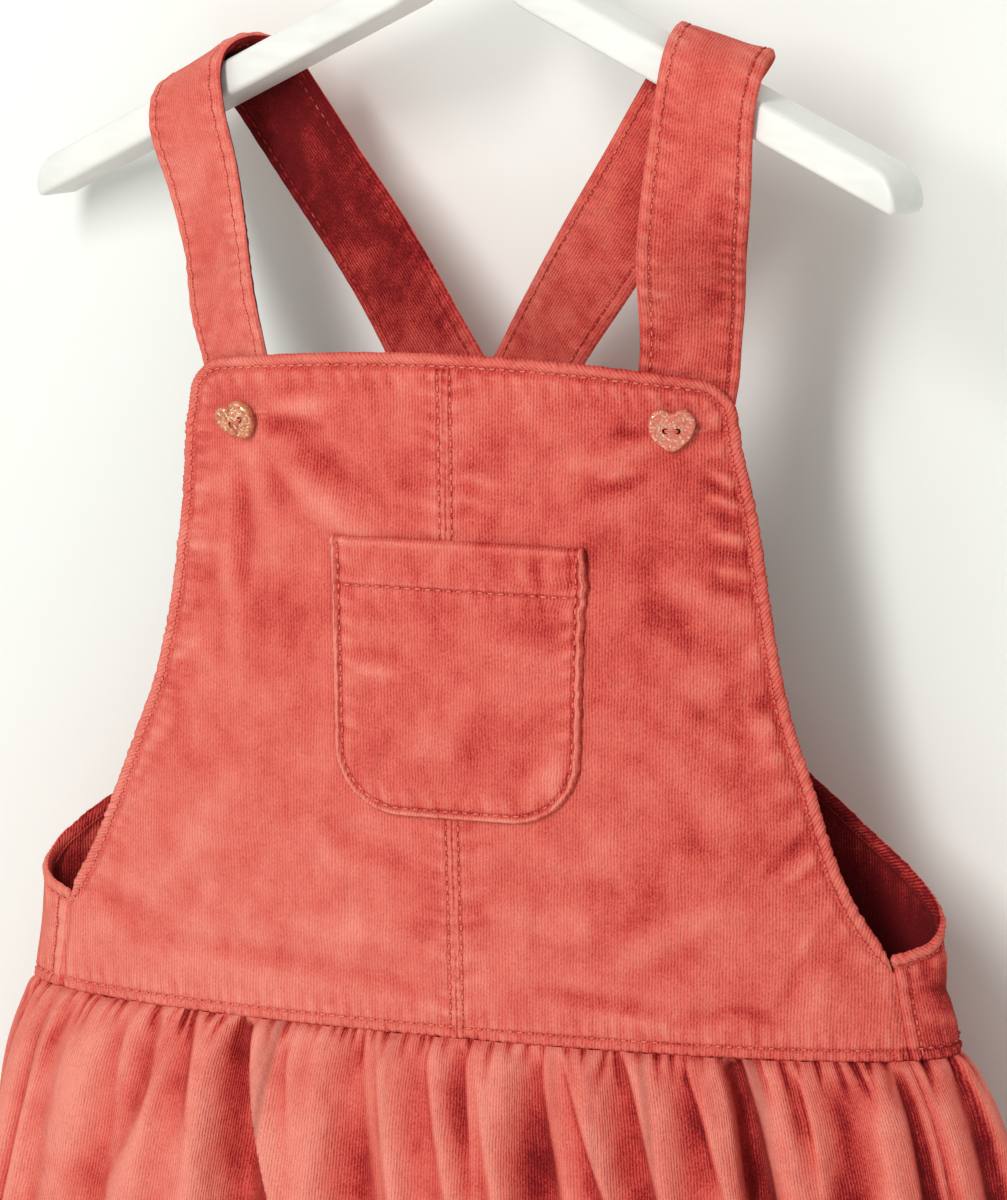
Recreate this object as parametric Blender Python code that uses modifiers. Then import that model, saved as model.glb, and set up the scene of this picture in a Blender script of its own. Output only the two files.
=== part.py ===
"""A child's corduroy pinafore dress hanging by its straps on a plain white hanger.

Metres, +Z up. The origin is the inside top of the hanger's hook, where a rail carries it.
The dress faces -Y, and +X is to the right of someone who looks at its front.
"""

import math

import bmesh
import bpy
import numpy as np

MM = 0.001
SEAM_GAP = 0.3  # mm between neighbouring pieces

# Driving sizes, in millimetres.
WAIST_Z = -406.5
SKIRT_LENGTH = 220.0
STRAP_WIDTH = 32.5
BODICE_WALL = 2.0
SKIRT_WALL = 1.4
STRAP_WALL = 3.0
POCKET_WALL = 1.5
EDGE_BAND = 4.3
EDGE_BAND_WALL = 3.0

# The body of the dress is a flat ring at each height: half width, front depth and back depth from
# a centre line, with rounded ends of this power.
RING_POWER = 2.2
RING_X = 2.2
RING_Y = 3.0
SIDE_SEAM_ANGLE = math.radians(64.5)
SIDE_SEAM_GAP = 0.006  # radians kept free on either side of a side seam
FRONT_RING = (  # height over the waist, half width, front depth
    (0.0, 155.5, 31.0),
    (30.0, 150.6, 31.0),
    (60.0, 144.5, 32.0),
    (88.0, 136.0, 32.5),
    (133.0, 119.0, 32.5),
    (160.0, 110.0, 32.0),
    (187.0, 104.0, 31.5),
    (220.0, 100.0, 31.0),
)
BACK_RING = (  # height over the waist, half width, depth before and behind the ring's ends, middle
    (0.0, 155.5, 31.0, 27.0, 2.2),
    (30.0, 150.6, 31.0, 27.0, 1.2),
    (60.0, 149.5, 31.0, 27.0, 1.0),
)
BIB_TWIST = 0.035  # mm back at the left corner, and forward at the right, for each mm of x
TWIST_FOOT = 30.0  # the twist starts at this height over the waist

# The bib's outline: half width and middle at each level over the waist, up to where its corner starts.
BIB_SIDE = (
    (0.0, 140.9, 2.2),
    (30.0, 136.5, 1.2),
    (34.0, 135.8, 0.9),
    (39.0, 133.0, 0.4),
    (48.0, 127.6, 0.2),
    (60.0, 122.0, 0.3),
    (88.3, 111.8, 1.5),
    (111.0, 104.0, 2.0),
    (136.0, 98.9, 1.9),
    (153.5, 96.6, 1.4),
    (167.0, 94.9, 1.0),
    (183.0, 93.2, -0.4),
    (196.0, 91.6, -1.6),
    (204.5, 90.3, -1.5),
)
UNDERARM = 33.5
BIB_BAND_END = 30.5  # level where the bib's band stops at the underarm
SEAM_PLAIN = 8.0  # nearer a side seam than this, the back edge's band turns straight under its edge
BACK_EDGE_GAP = 0.6  # mm between the back and its band, which bend round the ring's ends
BEND_WEIGHT = 14.0  # mm of flat back that get as many columns as one radian of bend
BIB_TOP = 217.5
BIB_CORNER_LEVEL = 204.5  # where the rounded corner starts
BIB_CORNER = 13.0
BIB_DROOP = 0.000925  # the top edge falls by this times x squared
CENTRE_SEAM = (-1.6, 2.4)  # x at the top and at the waist, where a level runs between them

# The back's top edge: ring angle in degrees from the centre front, height over the waist.
BACK_EDGE = (
    (64.5, 33.5),
    (80.0, 35.5),
    (90.0, 40.5),
    (99.0, 45.5),
    (107.0, 50.0),
    (123.8, 63.5),
    (132.9, 74.0),
    (139.7, 83.5),
    (161.5, 130.0),
    (166.0, 133.0),
    (180.0, 133.0),
)

SKIRT_RING = (  # depth under the waist, half width, front depth, back depth, middle
    (0.0, 155.5, 31.0, 27.0, 2.2),
    (6.0, 159.0, 34.5, 30.5, 2.4),
    (20.0, 165.0, 39.0, 35.0, 2.8),
    (45.0, 171.5, 44.0, 40.0, 3.5),
    (100.0, 184.0, 51.0, 46.0, 4.0),
    (160.0, 195.0, 56.0, 51.0, 4.0),
    (220.0, 204.0, 60.0, 55.0, 4.0),
)
# The skirt's main folds are soft troughs: share of the panel's width at the waist and at the hem,
# depth at 50 mm under the waist and at the hem, half width at the hem.
FRONT_FOLDS = (
    (0.022, 0.060, 4.0, 9.0, 12.0),
    (0.105, 0.120, 2.0, 7.0, 11.0),
    (0.186, 0.195, 3.5, 7.0, 11.0),
    (0.250, 0.285, 5.5, 12.0, 14.0),
    (0.320, 0.345, 3.0, 5.0, 9.0),
    (0.385, 0.410, 4.0, 10.0, 13.0),
    (0.458, 0.470, 3.0, 6.0, 10.0),
    (0.585, 0.595, 7.5, 13.0, 15.0),
    (0.680, 0.665, 4.5, 9.0, 11.0),
    (0.748, 0.738, 4.5, 8.0, 10.0),
    (0.800, 0.820, 8.0, 13.0, 12.0),
    (0.908, 0.880, 5.0, 9.0, 11.0),
    (0.972, 0.955, 5.0, 8.0, 10.0),
)
BACK_FOLDS = (
    (0.040, 0.045, 3.0, 8.0, 12.0),
    (0.130, 0.120, 4.0, 12.0, 14.0),
    (0.225, 0.220, 3.0, 8.0, 12.0),
    (0.310, 0.320, 5.0, 13.0, 14.0),
    (0.425, 0.420, 3.0, 9.0, 12.0),
    (0.520, 0.505, 4.0, 12.0, 13.0),
    (0.605, 0.610, 3.0, 8.0, 12.0),
    (0.700, 0.695, 5.0, 13.0, 14.0),
    (0.790, 0.795, 3.0, 9.0, 12.0),
    (0.880, 0.875, 4.0, 11.0, 13.0),
    (0.960, 0.955, 3.0, 7.0, 11.0),
)

POCKET_X = 2.9
POCKET_TOP = 160.0
POCKET_HEIGHT = 88.0
POCKET_HALF = (41.0, 39.7)  # half width at the top and above the corners
POCKET_CORNER = 22.0
POCKET_LIFT = 0.4  # mm between the pocket and the front

BUTTON_WIDTH = 14.5
BUTTON_HEIGHT = 13.2
BUTTON_THICK = 3.0
BUTTON_HOLE = 1.9
BUTTON_HOLE_APART = 3.8
BUTTON_GAP = 0.5  # mm between a button's back and the cloth
BUTTONS = (  # name, x, height over the waist, turn and lean in degrees
    ("button_left", -70.8, 193.2, 30.0, 10.0),
    ("button_right", 69.9, 197.1, 0.0, 4.0),
)

# The hanger: a flat bar with two sloping arms, turned about the vertical.
HANGER_TURN = math.radians(-17.0)
HANGER_SLOPE = math.radians(24.3)
HANGER_TOP = -62.8  # where the lines of the two arms' top edges cross
HANGER_DEPTH = 20.0
HANGER_HEIGHT = 11.0  # square to the arm
HANGER_LEFT = 168.0
HANGER_RIGHT = 149.5
HANGER_TIP_ROUND = 7.0
HANGER_SOFTENING = 0.8
HANGER_ROLL = math.radians(-0.4)
HANGER_NECK = 26.0  # the arms curve up to the hook inside this distance
HANGER_NECK_RISE = 0.030
HANGER_NECK_DEEPER = 1.15  # the bar is this much taller under the hook
HOOK_WIRE = 1.7
HOOK_RADIUS = 18.0
HOOK_FLAT = 6.0

# Each strap runs from behind the bib, over the hanger, to the back's top edge on the other side:
# x, y, z of its middle, then the turn and the rise of its width in degrees.
LEFT_FRONT = (
    (-71.0, 0.0, -231.0, -38.0, 0.0),
    (-72.0, 0.0, -212.0, -40.0, 0.0),
    (-76.0, -3.5, -192.0, -42.0, 6.0),
    (-85.0, 4.5, -168.0, -36.0, 12.0),
    (-93.5, 12.5, -141.0, -27.0, 18.0),
)
LEFT_BACK = (
    (-73.5, 40.5, -124.0, -21.0, 30.0),
    (-59.5, 36.5, -142.0, -23.0, 33.0),
    (-45.0, 32.0, -160.0, -23.0, 34.0),
    (-33.0, 27.0, -176.0, -22.0, 34.0),
    (-19.5, 22.0, -196.5, -19.0, 33.0),
    (-2.0, 18.5, -223.0, -15.0, 32.0),
    (14.0, 19.5, -245.0, -6.0, 30.0),
    (30.0, 23.4, -270.0, 0.0, 24.0),
    (38.0, 24.2, -289.0, 0.0, 16.0),
)
RIGHT_FRONT = (
    (70.5, 0.0, -231.0, 31.0, 0.0),
    (71.5, 0.0, -212.0, 31.0, 0.0),
    (73.1, -17.0, -190.0, 30.0, -4.0),
    (75.0, -25.5, -164.5, 20.0, -6.0),
    (78.8, -36.0, -139.5, 4.0, -10.0),
)
RIGHT_BACK = (
    (68.0, -8.5, -116.5, -15.0, -30.0),
    (54.5, -3.0, -138.0, -17.0, -32.0),
    (36.5, 7.5, -164.0, -22.0, -33.0),
    (19.5, 17.0, -189.5, -31.0, -32.0),
    (10.5, 23.5, -205.0, -30.0, -32.0),
    (-2.0, 27.5, -225.0, -15.0, -32.0),
    (-17.0, 27.0, -247.0, -4.0, -30.0),
    (-31.0, 24.8, -271.0, 0.0, -24.0),
    (-38.0, 24.2, -289.0, 0.0, -16.0),
)
# Where each strap lies over its arm: distance along the arm at the bar's front and back faces,
# lift over the bar, then the turn and the rise of its width.
LOOP_FOOT = 5.0  # the loop starts and ends this far under the bar's top
LOOP_GAP = 1.3  # mm between the loop and the bar's faces
STRAP_GAP = 0.9  # mm between a strap and the bib's binding in front of it
LEFT_OVER = (-104.5, -93.5, 5.0, -20.0, 27.0)
RIGHT_OVER = (91.5, 77.5, 8.5, -14.0, -14.0)

CLOTH = (0.73, 0.135, 0.10)


# Curves and surfaces.


def smooth(table, column, x):
    """A smooth, never overshooting curve through the table's first column and this one."""
    knots = np.array([row[0] for row in table], float)
    values = np.array([row[column] for row in table], float)
    run = np.diff(knots)
    grade = np.diff(values) / run
    slope = np.concatenate([grade[:1], np.zeros(len(grade) - 1), grade[-1:]])
    same_way = grade[:-1] * grade[1:] > 0
    product = 2 * grade[:-1] * grade[1:]
    total = np.where(same_way, grade[:-1] + grade[1:], 1.0)
    slope[1:-1] = np.where(same_way, product / total, 0.0)
    x = np.clip(np.asarray(x, float), knots[0], knots[-1])
    k = np.clip(np.searchsorted(knots, x, side="right") - 1, 0, len(run) - 1)
    u = (x - knots[k]) / run[k]
    start = values[k] * (1 + 2 * u) * (1 - u) ** 2 + slope[k] * run[k] * u * (1 - u) ** 2
    return start + values[k + 1] * u**2 * (3 - 2 * u) - slope[k + 1] * run[k] * u**2 * (1 - u)


def power_wave(value):
    return np.sign(value) * np.abs(value) ** (2 / RING_POWER)


def ring(angle, half_width, front, back, middle=RING_X):
    """x and y on the ring at this angle, which is 0 at the centre front and positive to +X."""
    depth = np.where(np.cos(angle) > 0, front, back)
    x = middle + half_width * power_wave(np.sin(angle))
    return x, RING_Y - depth * power_wave(np.cos(angle))


def front_y(x, height):
    """y of the front's outer face at this x and height over the waist."""
    half_width = smooth(FRONT_RING, 1, height)
    depth = smooth(FRONT_RING, 2, height)
    share = np.clip(np.abs(x - RING_X) / half_width, 0.0, 1.0)
    bow = (1 - share**RING_POWER) ** (1 / RING_POWER)
    twist = BIB_TWIST * x * np.clip((height - TWIST_FOOT) / (BIB_TOP - TWIST_FOOT), 0.0, 1.0)
    return RING_Y - depth * bow - twist


def on_front(x, level):
    """Points of the front's outer face. A level is a height before the top edge's droop."""
    height = level - BIB_DROOP * x**2 * (level / BIB_TOP) ** 4
    return np.stack([x, front_y(x, height), WAIST_Z + height], -1)


def on_back(angle, height, out=0.0):
    """Points this far outside the back's outer face."""
    size = [smooth(BACK_RING, column, height) for column in (1, 2, 3, 4)]
    x, y = ring(angle, *size)
    x0, y0 = ring(angle - 0.01, *size)
    x1, y1 = ring(angle + 0.01, *size)
    reach = out / np.hypot(x1 - x0, y1 - y0)
    return np.stack([x + (y1 - y0) * reach, y - (x1 - x0) * reach, WAIST_Z + height], -1)


def moved_out(points, distance):
    """The grid of points, moved along the surface's own normals, outwards if distance is over 0."""
    along, up = np.gradient(points, axis=1), np.gradient(points, axis=0)
    normal = np.cross(along, up)
    return points + distance * normal / np.linalg.norm(normal, axis=-1, keepdims=True)


def even_angles(size, start, end, count):
    """Ring angles from start to end whose points are evenly spaced on a ring of this size."""
    fine = np.linspace(start, end, 721)
    x, y = ring(fine, *size)
    length = np.concatenate([[0.0], np.cumsum(np.hypot(np.diff(x), np.diff(y)))])
    return np.interp(np.linspace(0.0, length[-1], count), length, fine)


# Objects and materials.


def material(name, colour, roughness, metallic=0.0):
    made = bpy.data.materials.new(name)
    made.use_nodes = True
    shader = made.node_tree.nodes["Principled BSDF"]
    shader.inputs["Base Color"].default_value = (*colour, 1.0)
    shader.inputs["Roughness"].default_value = roughness
    shader.inputs["Metallic"].default_value = metallic
    return made


def new_object(name, data, finish):
    data.materials.append(finish)
    made = bpy.data.objects.new(name, data)
    parts.objects.link(made)
    return made


def cloth(name, points, wall, outwards, finish):
    """A wall of cloth through a grid of points (rows, columns, 3), thickened to one side."""
    rows, columns = points.shape[:2]
    mesh = bmesh.new()
    bmesh.ops.create_grid(mesh, x_segments=columns - 1, y_segments=rows - 1, size=1.0)
    for vertex, place in zip(mesh.verts, points.reshape(-1, 3) * MM):
        vertex.co = place
    data = bpy.data.meshes.new(name)
    mesh.to_mesh(data)
    mesh.free()
    data.shade_smooth()
    made = new_object(name, data, finish)
    thick = made.modifiers.new("wall", "SOLIDIFY")
    thick.thickness = wall * MM
    thick.offset = outwards
    return made


# The front of the bodice.


def side_half(level):
    return smooth(BIB_SIDE, 1, level)


def bib_middle(level):
    return smooth(BIB_SIDE, 2, level)


def bib_outline(inset):
    """(x, level) of the right edge, this far inside it, from the underarm to the top corner's end."""
    levels = np.array([UNDERARM, 36, 39, 45, 53, 62, 75, 92, 110, 130, 150, 170, 188, BIB_CORNER_LEVEL])
    slope = side_half(levels + 0.5) - side_half(levels - 0.5)
    size = np.hypot(1.0, slope)
    side = np.stack([side_half(levels) - inset / size, levels + inset * slope / size], -1)
    side[0, 1] = BIB_BAND_END
    turn = np.radians([18.0, 36.0, 54.0, 72.0, 90.0])
    middle = side_half(BIB_CORNER_LEVEL) - BIB_CORNER
    radius = BIB_CORNER - inset
    corner = np.stack([middle + radius * np.cos(turn), BIB_CORNER_LEVEL + radius * np.sin(turn)], -1)
    return np.concatenate([side, corner])


def front_rows(inset):
    """(half width, level) of each row of the front, from the waist to the top edge."""
    under_band = BIB_BAND_END - 3 * SEAM_GAP
    below = [(side_half(level), level) for level in (SEAM_GAP / 2, under_band / 2, under_band)]
    outline = bib_outline(inset)
    outline[0, 1] -= 2 * SEAM_GAP
    return np.concatenate([np.array(below), outline])


def front_panel(name, side, columns, finish):
    rows = front_rows(EDGE_BAND + SEAM_GAP)
    share = np.linspace(0.0, 1.0, columns)
    seam = CENTRE_SEAM[1] + (CENTRE_SEAM[0] - CENTRE_SEAM[1]) * rows[:, 1:] / BIB_TOP
    seam = seam + side * SEAM_GAP / 2
    outer = bib_middle(rows[:, 1:]) + side * rows[:, :1]
    # From left to right, so that the faces look forward.
    x = outer + (seam - outer) * share if side < 0 else seam + (outer - seam) * share
    level = np.broadcast_to(rows[:, 1:], x.shape)
    return cloth(name, on_front(x, level), BODICE_WALL, -1.0, finish)


def bib_edge(finish):
    """The bias binding along both armholes and the top edge of the bib."""
    bands = []
    for inset in (0.0, EDGE_BAND):
        edge = bib_outline(inset)
        middle = bib_middle(edge[:, 1])
        left = edge * (-1.0, 1.0) + np.stack([middle, 0 * middle], -1)
        right = edge + np.stack([middle, 0 * middle], -1)
        top = np.linspace(left[-1], right[-1], 14)[1:-1]
        bands.append(np.concatenate([left, top, right[::-1]]))
    rows = np.stack([bands[1], (bands[0] + bands[1]) / 2, bands[0]])
    points = on_front(rows[..., 0], rows[..., 1])
    points = moved_out(points, -BODICE_WALL / 2)
    return cloth("bib_edge", points, EDGE_BAND_WALL, 0.0, finish)


# The back of the bodice.


def back_edge_height(angle):
    return smooth(BACK_EDGE, 1, np.degrees(math.pi - np.abs(angle - math.pi)))


def back_angles(count):
    """Ring angles from seam to seam round the back, closer together where the ring bends."""
    start = SIDE_SEAM_ANGLE + SIDE_SEAM_GAP
    fine = np.linspace(start, 2 * math.pi - start, 721)
    x, y = ring(fine, *BACK_RING[0][1:])
    across, along = np.gradient(x), np.gradient(y)
    bend = np.abs(np.gradient(np.unwrap(np.arctan2(along, across))))
    weight = np.cumsum(np.hypot(across, along) + BEND_WEIGHT * bend)
    return np.interp(np.linspace(weight[0], weight[-1], count), weight, fine)


def back_edge_inset(angle, inset):
    """(angle, height) of the back's top edge, moved in square to it. The angles run round the back."""
    x, y = ring(angle, *BACK_RING[0][1:])
    height = back_edge_height(angle)
    length = np.concatenate([[0.0], np.cumsum(np.hypot(np.diff(x), np.diff(y)))])
    slope = np.gradient(height, length)
    size = np.hypot(1.0, slope)
    # At a side seam the inset goes straight down.
    from_seam = np.minimum(length, length[-1] - length)
    shift = inset * slope / size * np.clip(from_seam / SEAM_PLAIN, 0.0, 1.0)
    return np.interp(length + shift, length, angle), height - inset / size


def back_panel(finish, columns=49, rows=7):
    foot = back_angles(columns)
    angle, top = back_edge_inset(foot, EDGE_BAND + BACK_EDGE_GAP)
    share = np.linspace(0.0, 1.0, rows)[:, None]
    angles = foot + (angle - foot) * share
    heights = SEAM_GAP / 2 + (top - SEAM_GAP / 2) * share
    return cloth("back_bodice", on_back(angles, heights), BODICE_WALL, -1.0, finish)


def back_edge(finish, columns=49):
    bands = [back_edge_inset(back_angles(columns), inset) for inset in (EDGE_BAND, 0.0)]
    angles, heights = np.array(bands).transpose(1, 0, 2)
    points = on_back(angles, heights, -BODICE_WALL / 2)
    return cloth("back_edge", points, EDGE_BAND_WALL, 0.0, finish)


# The skirt.


def fold_depth(folds, share, depth, width):
    """How far the cloth lies inside its ring."""
    down = depth / SKIRT_LENGTH
    total = np.zeros(np.broadcast(share, depth).shape)
    for top, hem, deep_50, deep_hem, half in folds:
        middle = top + (hem - top) * down
        deep = smooth(((0.0, 0.0), (15.0, deep_50 * 0.5), (50.0, deep_50), (220.0, deep_hem)), 1, depth)
        spread = half * (0.6 + 0.4 * down)
        total += deep * np.exp(-(((share - middle) * width / spread) ** 2))
    return total


def skirt_panel(name, start, end, folds, finish, columns=67, rows=8):
    depths = SEAM_GAP / 2 + (SKIRT_LENGTH - SEAM_GAP / 2) * np.linspace(1.0, 0.0, rows) ** 1.35
    share = np.linspace(0.0, 1.0, columns)
    points = []
    for depth in depths:
        size = [float(smooth(SKIRT_RING, column, depth)) for column in (1, 2, 3, 4)]
        angle = even_angles(size, start + SIDE_SEAM_GAP, end - SIDE_SEAM_GAP, columns)
        x, y = ring(angle, *size)
        width = np.hypot(np.diff(x), np.diff(y)).sum()
        out = np.stack([np.gradient(y), -np.gradient(x)], -1)
        out /= np.linalg.norm(out, axis=-1, keepdims=True)
        inside = fold_depth(folds, share, depth, width)
        inside -= inside.mean() * 0.8
        # The two ends of a panel lie in its side seams, on the ring itself.
        inside *= np.clip(np.minimum(share, 1 - share) * width / 14.0, 0.0, 1.0)
        place = np.stack([x, y], -1) - out * inside[:, None]
        points.append(np.column_stack([place, np.full(columns, WAIST_Z - depth)]))
    return cloth(name, np.array(points), SKIRT_WALL, -1.0, finish)


# The pocket and the buttons.


def pocket(finish):
    turn = np.radians(np.linspace(-90.0, 0.0, 7))
    straight = POCKET_HEIGHT - POCKET_CORNER
    low = POCKET_TOP - POCKET_HEIGHT
    half = POCKET_HALF[1] - POCKET_CORNER + POCKET_CORNER * np.cos(turn)
    level = low + POCKET_CORNER + POCKET_CORNER * np.sin(turn)
    rise = np.linspace(0.0, 1.0, 6)[1:]
    half = np.concatenate([half, POCKET_HALF[1] + (POCKET_HALF[0] - POCKET_HALF[1]) * rise])
    level = np.concatenate([level, low + POCKET_CORNER + straight * rise])
    x = POCKET_X + half[:, None] * np.linspace(-1.0, 1.0, 9)
    points = moved_out(on_front(x, np.broadcast_to(level[:, None], x.shape)), POCKET_LIFT)
    return cloth("pocket", points, POCKET_WALL, 1.0, finish)


def heart(width, height, count=40):
    """A heart's outline, upright, centred on its box."""
    t = np.linspace(0.0, 2 * math.pi, count, endpoint=False)
    x = 16 * np.sin(t) ** 3
    z = 13 * np.cos(t) - 5 * np.cos(2 * t) - 2 * np.cos(3 * t) - np.cos(4 * t)
    outline = np.stack([x, z], -1)
    low, high = outline.min(0), outline.max(0)
    return (outline - (low + high) / 2) / (high - low) * (width, height)


def prism(name, outline, thick, finish, collection):
    """The outline (x, z), centred in y on 0 and thick in y."""
    mesh = bmesh.new()
    corners = [mesh.verts.new((x * MM, -thick / 2 * MM, z * MM)) for x, z in outline]
    face = mesh.faces.new(corners)
    bmesh.ops.recalc_face_normals(mesh, faces=[face])
    made = bmesh.ops.extrude_face_region(mesh, geom=[face])
    lifted = [item for item in made["geom"] if isinstance(item, bmesh.types.BMVert)]
    bmesh.ops.translate(mesh, verts=lifted, vec=(0.0, thick * MM, 0.0))
    bmesh.ops.recalc_face_normals(mesh, faces=mesh.faces)
    data = bpy.data.meshes.new(name)
    mesh.to_mesh(data)
    mesh.free()
    data.materials.append(finish)
    solid = bpy.data.objects.new(name, data)
    collection.objects.link(solid)
    return solid


def button(name, x, height, turn, lean, finish):
    body = prism(name, heart(BUTTON_WIDTH, BUTTON_HEIGHT), BUTTON_THICK, finish, parts)
    for side in (-1, 1):
        bpy.ops.mesh.primitive_cylinder_add(
            vertices=12, radius=BUTTON_HOLE / 2 * MM, depth=3 * BUTTON_THICK * MM,
            location=(side * BUTTON_HOLE_APART / 2 * MM, 0.0, 0.0), rotation=(math.pi / 2, 0.0, 0.0),
        )
        hole = bpy.context.object
        hole.name = f"{name}_hole_{'left' if side < 0 else 'right'}"
        hole.hide_render = True
        hole.display_type = "WIRE"
        for collection in list(hole.users_collection):
            collection.objects.unlink(hole)
        cutters.objects.link(hole)
        hole.parent = body
        cut = body.modifiers.new("hole", "BOOLEAN")
        cut.operation = "DIFFERENCE"
        cut.object = hole
    slope = (front_y(x + 5.0, height) - front_y(x - 5.0, height)) / 10.0
    stand_off = BUTTON_THICK / 2 + BUTTON_GAP + BUTTON_WIDTH / 2 * math.sin(math.radians(lean))
    body.location = (x * MM, (front_y(x, height) - stand_off) * MM, (WAIST_Z + height) * MM)
    body.rotation_euler = (math.radians(lean), math.radians(-turn), math.atan(slope))
    return body


# The hanger.


def hanger_frame(along, out, up):
    """A point of the hanger: along its bar to the right, out to the front, up. All in mm."""
    roll_along = along * math.cos(HANGER_ROLL) + up * math.sin(HANGER_ROLL)
    roll_up = up * math.cos(HANGER_ROLL) - along * math.sin(HANGER_ROLL)
    x = roll_along * math.cos(HANGER_TURN) + out * math.sin(HANGER_TURN)
    y = roll_along * math.sin(HANGER_TURN) - out * math.cos(HANGER_TURN)
    return np.array([x, y, roll_up])


def bar_top(along):
    """Height of the bar's top edge, in the hanger's own frame."""
    neck = np.clip(HANGER_NECK - np.abs(along), 0.0, None)
    return HANGER_TOP - np.abs(along) * math.tan(HANGER_SLOPE) + HANGER_NECK_RISE * neck**2


def bar_outline():
    """(along, up) round the bar, clockwise from its left tip."""
    tall = HANGER_HEIGHT / math.cos(HANGER_SLOPE)
    turn = np.radians([0.0, 22.5, 45.0, 67.5, 90.0])
    # The upper corner of each tip is rounded off.
    fall = HANGER_TIP_ROUND * (1 - np.cos(turn))
    ends = []
    for reach in (-HANGER_LEFT, HANGER_RIGHT):
        along = reach - math.copysign(HANGER_TIP_ROUND, reach) * (1 - np.sin(turn))
        ends.append(list(zip(along, bar_top(along) - fall)))
    neck = np.linspace(-HANGER_NECK, -HOOK_FLAT, 6)
    top = [*zip(neck, bar_top(neck)), *zip(-neck[::-1], bar_top(neck[::-1]))]
    tips = np.array([HANGER_RIGHT - 1.5, 1.5 - HANGER_LEFT])
    under = np.array([*-neck, *neck[::-1]])
    deeper = np.linspace(1.0, HANGER_NECK_DEEPER, 6)
    low = zip(under, bar_top(under) - tall * np.array([*deeper, *deeper[::-1]]))
    low_right, low_left = zip(tips, bar_top(tips) - tall)
    return [*ends[0][::-1], *top, *ends[1], low_right, *low, low_left]


def hanger_bar(finish):
    bar = prism("hanger_bar", bar_outline(), HANGER_DEPTH, finish, parts)
    bar.rotation_euler = (0.0, HANGER_ROLL, HANGER_TURN)
    softened = bar.modifiers.new("edges", "BEVEL")
    softened.width = HANGER_SOFTENING * MM
    softened.segments = 1
    softened.limit_method = "ANGLE"
    return bar


def hook(finish):
    """A wire hook: its stem stands on the bar, and its inside top is the origin."""
    middle = HOOK_WIRE - HOOK_RADIUS
    foot = bar_top(HOOK_FLAT) + 2 * SEAM_GAP
    turns = np.radians(np.linspace(205.0, -38.0, 25))
    path = [(HOOK_RADIUS * math.cos(a), middle + HOOK_RADIUS * math.sin(a)) for a in turns]
    end_x, end_z = path[-1]
    bend = [(0.72, 0.16), (0.42, 0.36), (0.16, 0.62), (0.03, 0.86)]
    knee = foot + 6.0
    path += [(end_x * share, end_z + (knee - end_z) * down) for share, down in bend]
    path += [(0.0, knee), (0.0, foot)]
    data = bpy.data.curves.new("hanger_hook", "CURVE")
    data.dimensions = "3D"
    data.bevel_depth = HOOK_WIRE * MM
    data.bevel_resolution = 2
    data.use_fill_caps = True
    line = data.splines.new("POLY")
    line.points.add(len(path) - 1)
    for point, (along, up) in zip(line.points, path):
        point.co = (along * MM, 0.0, up * MM, 1.0)
    made = new_object("hanger_hook", data, finish)
    made.rotation_euler = (0.0, 0.0, HANGER_TURN)
    return made


# The straps.


def direction(turn, rise):
    turn, rise = np.radians(turn), np.radians(rise)
    return np.stack([np.cos(turn) * np.cos(rise), np.sin(turn) * np.cos(rise), np.sin(rise)], -1)


def over_bar(front, back, lift, turn, rise):
    """Rows for the strap's loop, square to the sloping arm, from the bar's front to its back."""
    side = math.copysign(1.0, front)
    askew = abs(math.sin(math.radians(turn) - HANGER_TURN))
    reach = HANGER_DEPTH / 2 + STRAP_WALL / 2 + STRAP_WIDTH / 2 * askew + LOOP_GAP
    rows = []
    for angle in np.radians([0.0, 30.0, 60.0, 90.0, 120.0, 150.0, 180.0]):
        foot = front + (back - front) * angle / math.pi
        over = (lift + LOOP_FOOT) * math.sin(angle) ** 0.8 - LOOP_FOOT
        along = foot + side * over * math.sin(HANGER_SLOPE)
        up = bar_top(foot) + over * math.cos(HANGER_SLOPE)
        rows.append((*hanger_frame(along, reach * math.cos(angle), up), turn, rise))
    return rows


def strap_rows(front, over, back):
    """The strap's rows, the loop's among them, each after its distance along the strap."""
    rows = np.array([*front, *over_bar(*over), *back])
    length = np.concatenate([[0.0], np.cumsum(np.linalg.norm(np.diff(rows[:, :3], axis=0), axis=1))])
    return np.column_stack([length, rows])


def strap_points(front, over, back, along, across):
    """Points of the strap's middle surface, as a grid (across, along)."""
    rows = strap_rows(front, over, back)
    at = np.interp(along, np.linspace(0.0, 1.0, len(rows)), rows[:, 0])
    middle = np.stack([smooth(rows, column, at) for column in (1, 2, 3)], -1)
    tangent = np.gradient(middle, at, axis=0)
    tangent /= np.linalg.norm(tangent, axis=-1, keepdims=True)
    width = direction(smooth(rows, 4, at), smooth(rows, 5, at))
    width -= tangent * (width * tangent).sum(-1, keepdims=True)
    width /= np.linalg.norm(width, axis=-1, keepdims=True)
    points = middle + width * across[:, None, None] * STRAP_WIDTH / 2
    # Behind the bib the strap follows the bib, and clears its binding.
    behind = (EDGE_BAND_WALL + BODICE_WALL) / 2 + STRAP_WALL / 2 + STRAP_GAP
    x, height = points[..., 0], points[..., 2] - WAIST_Z
    resting = front_y(x, np.minimum(height, BIB_TOP)) + behind
    hold = np.clip((250.0 - height) / 36.0, 0.0, 1.0) * (at < rows[-1, 0] / 2)
    hold = hold**2 * (3 - 2 * hold)
    points[..., 1] += (resting - points[..., 1]) * hold
    return points


def strap(name, front, over, back, finish, columns=55):
    along = np.linspace(0.0, 1.0, columns)
    points = strap_points(front, over, back, along, np.array([-1.0, 0.0, 1.0]))
    return cloth(name, points, STRAP_WALL, 0.0, finish)


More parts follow.
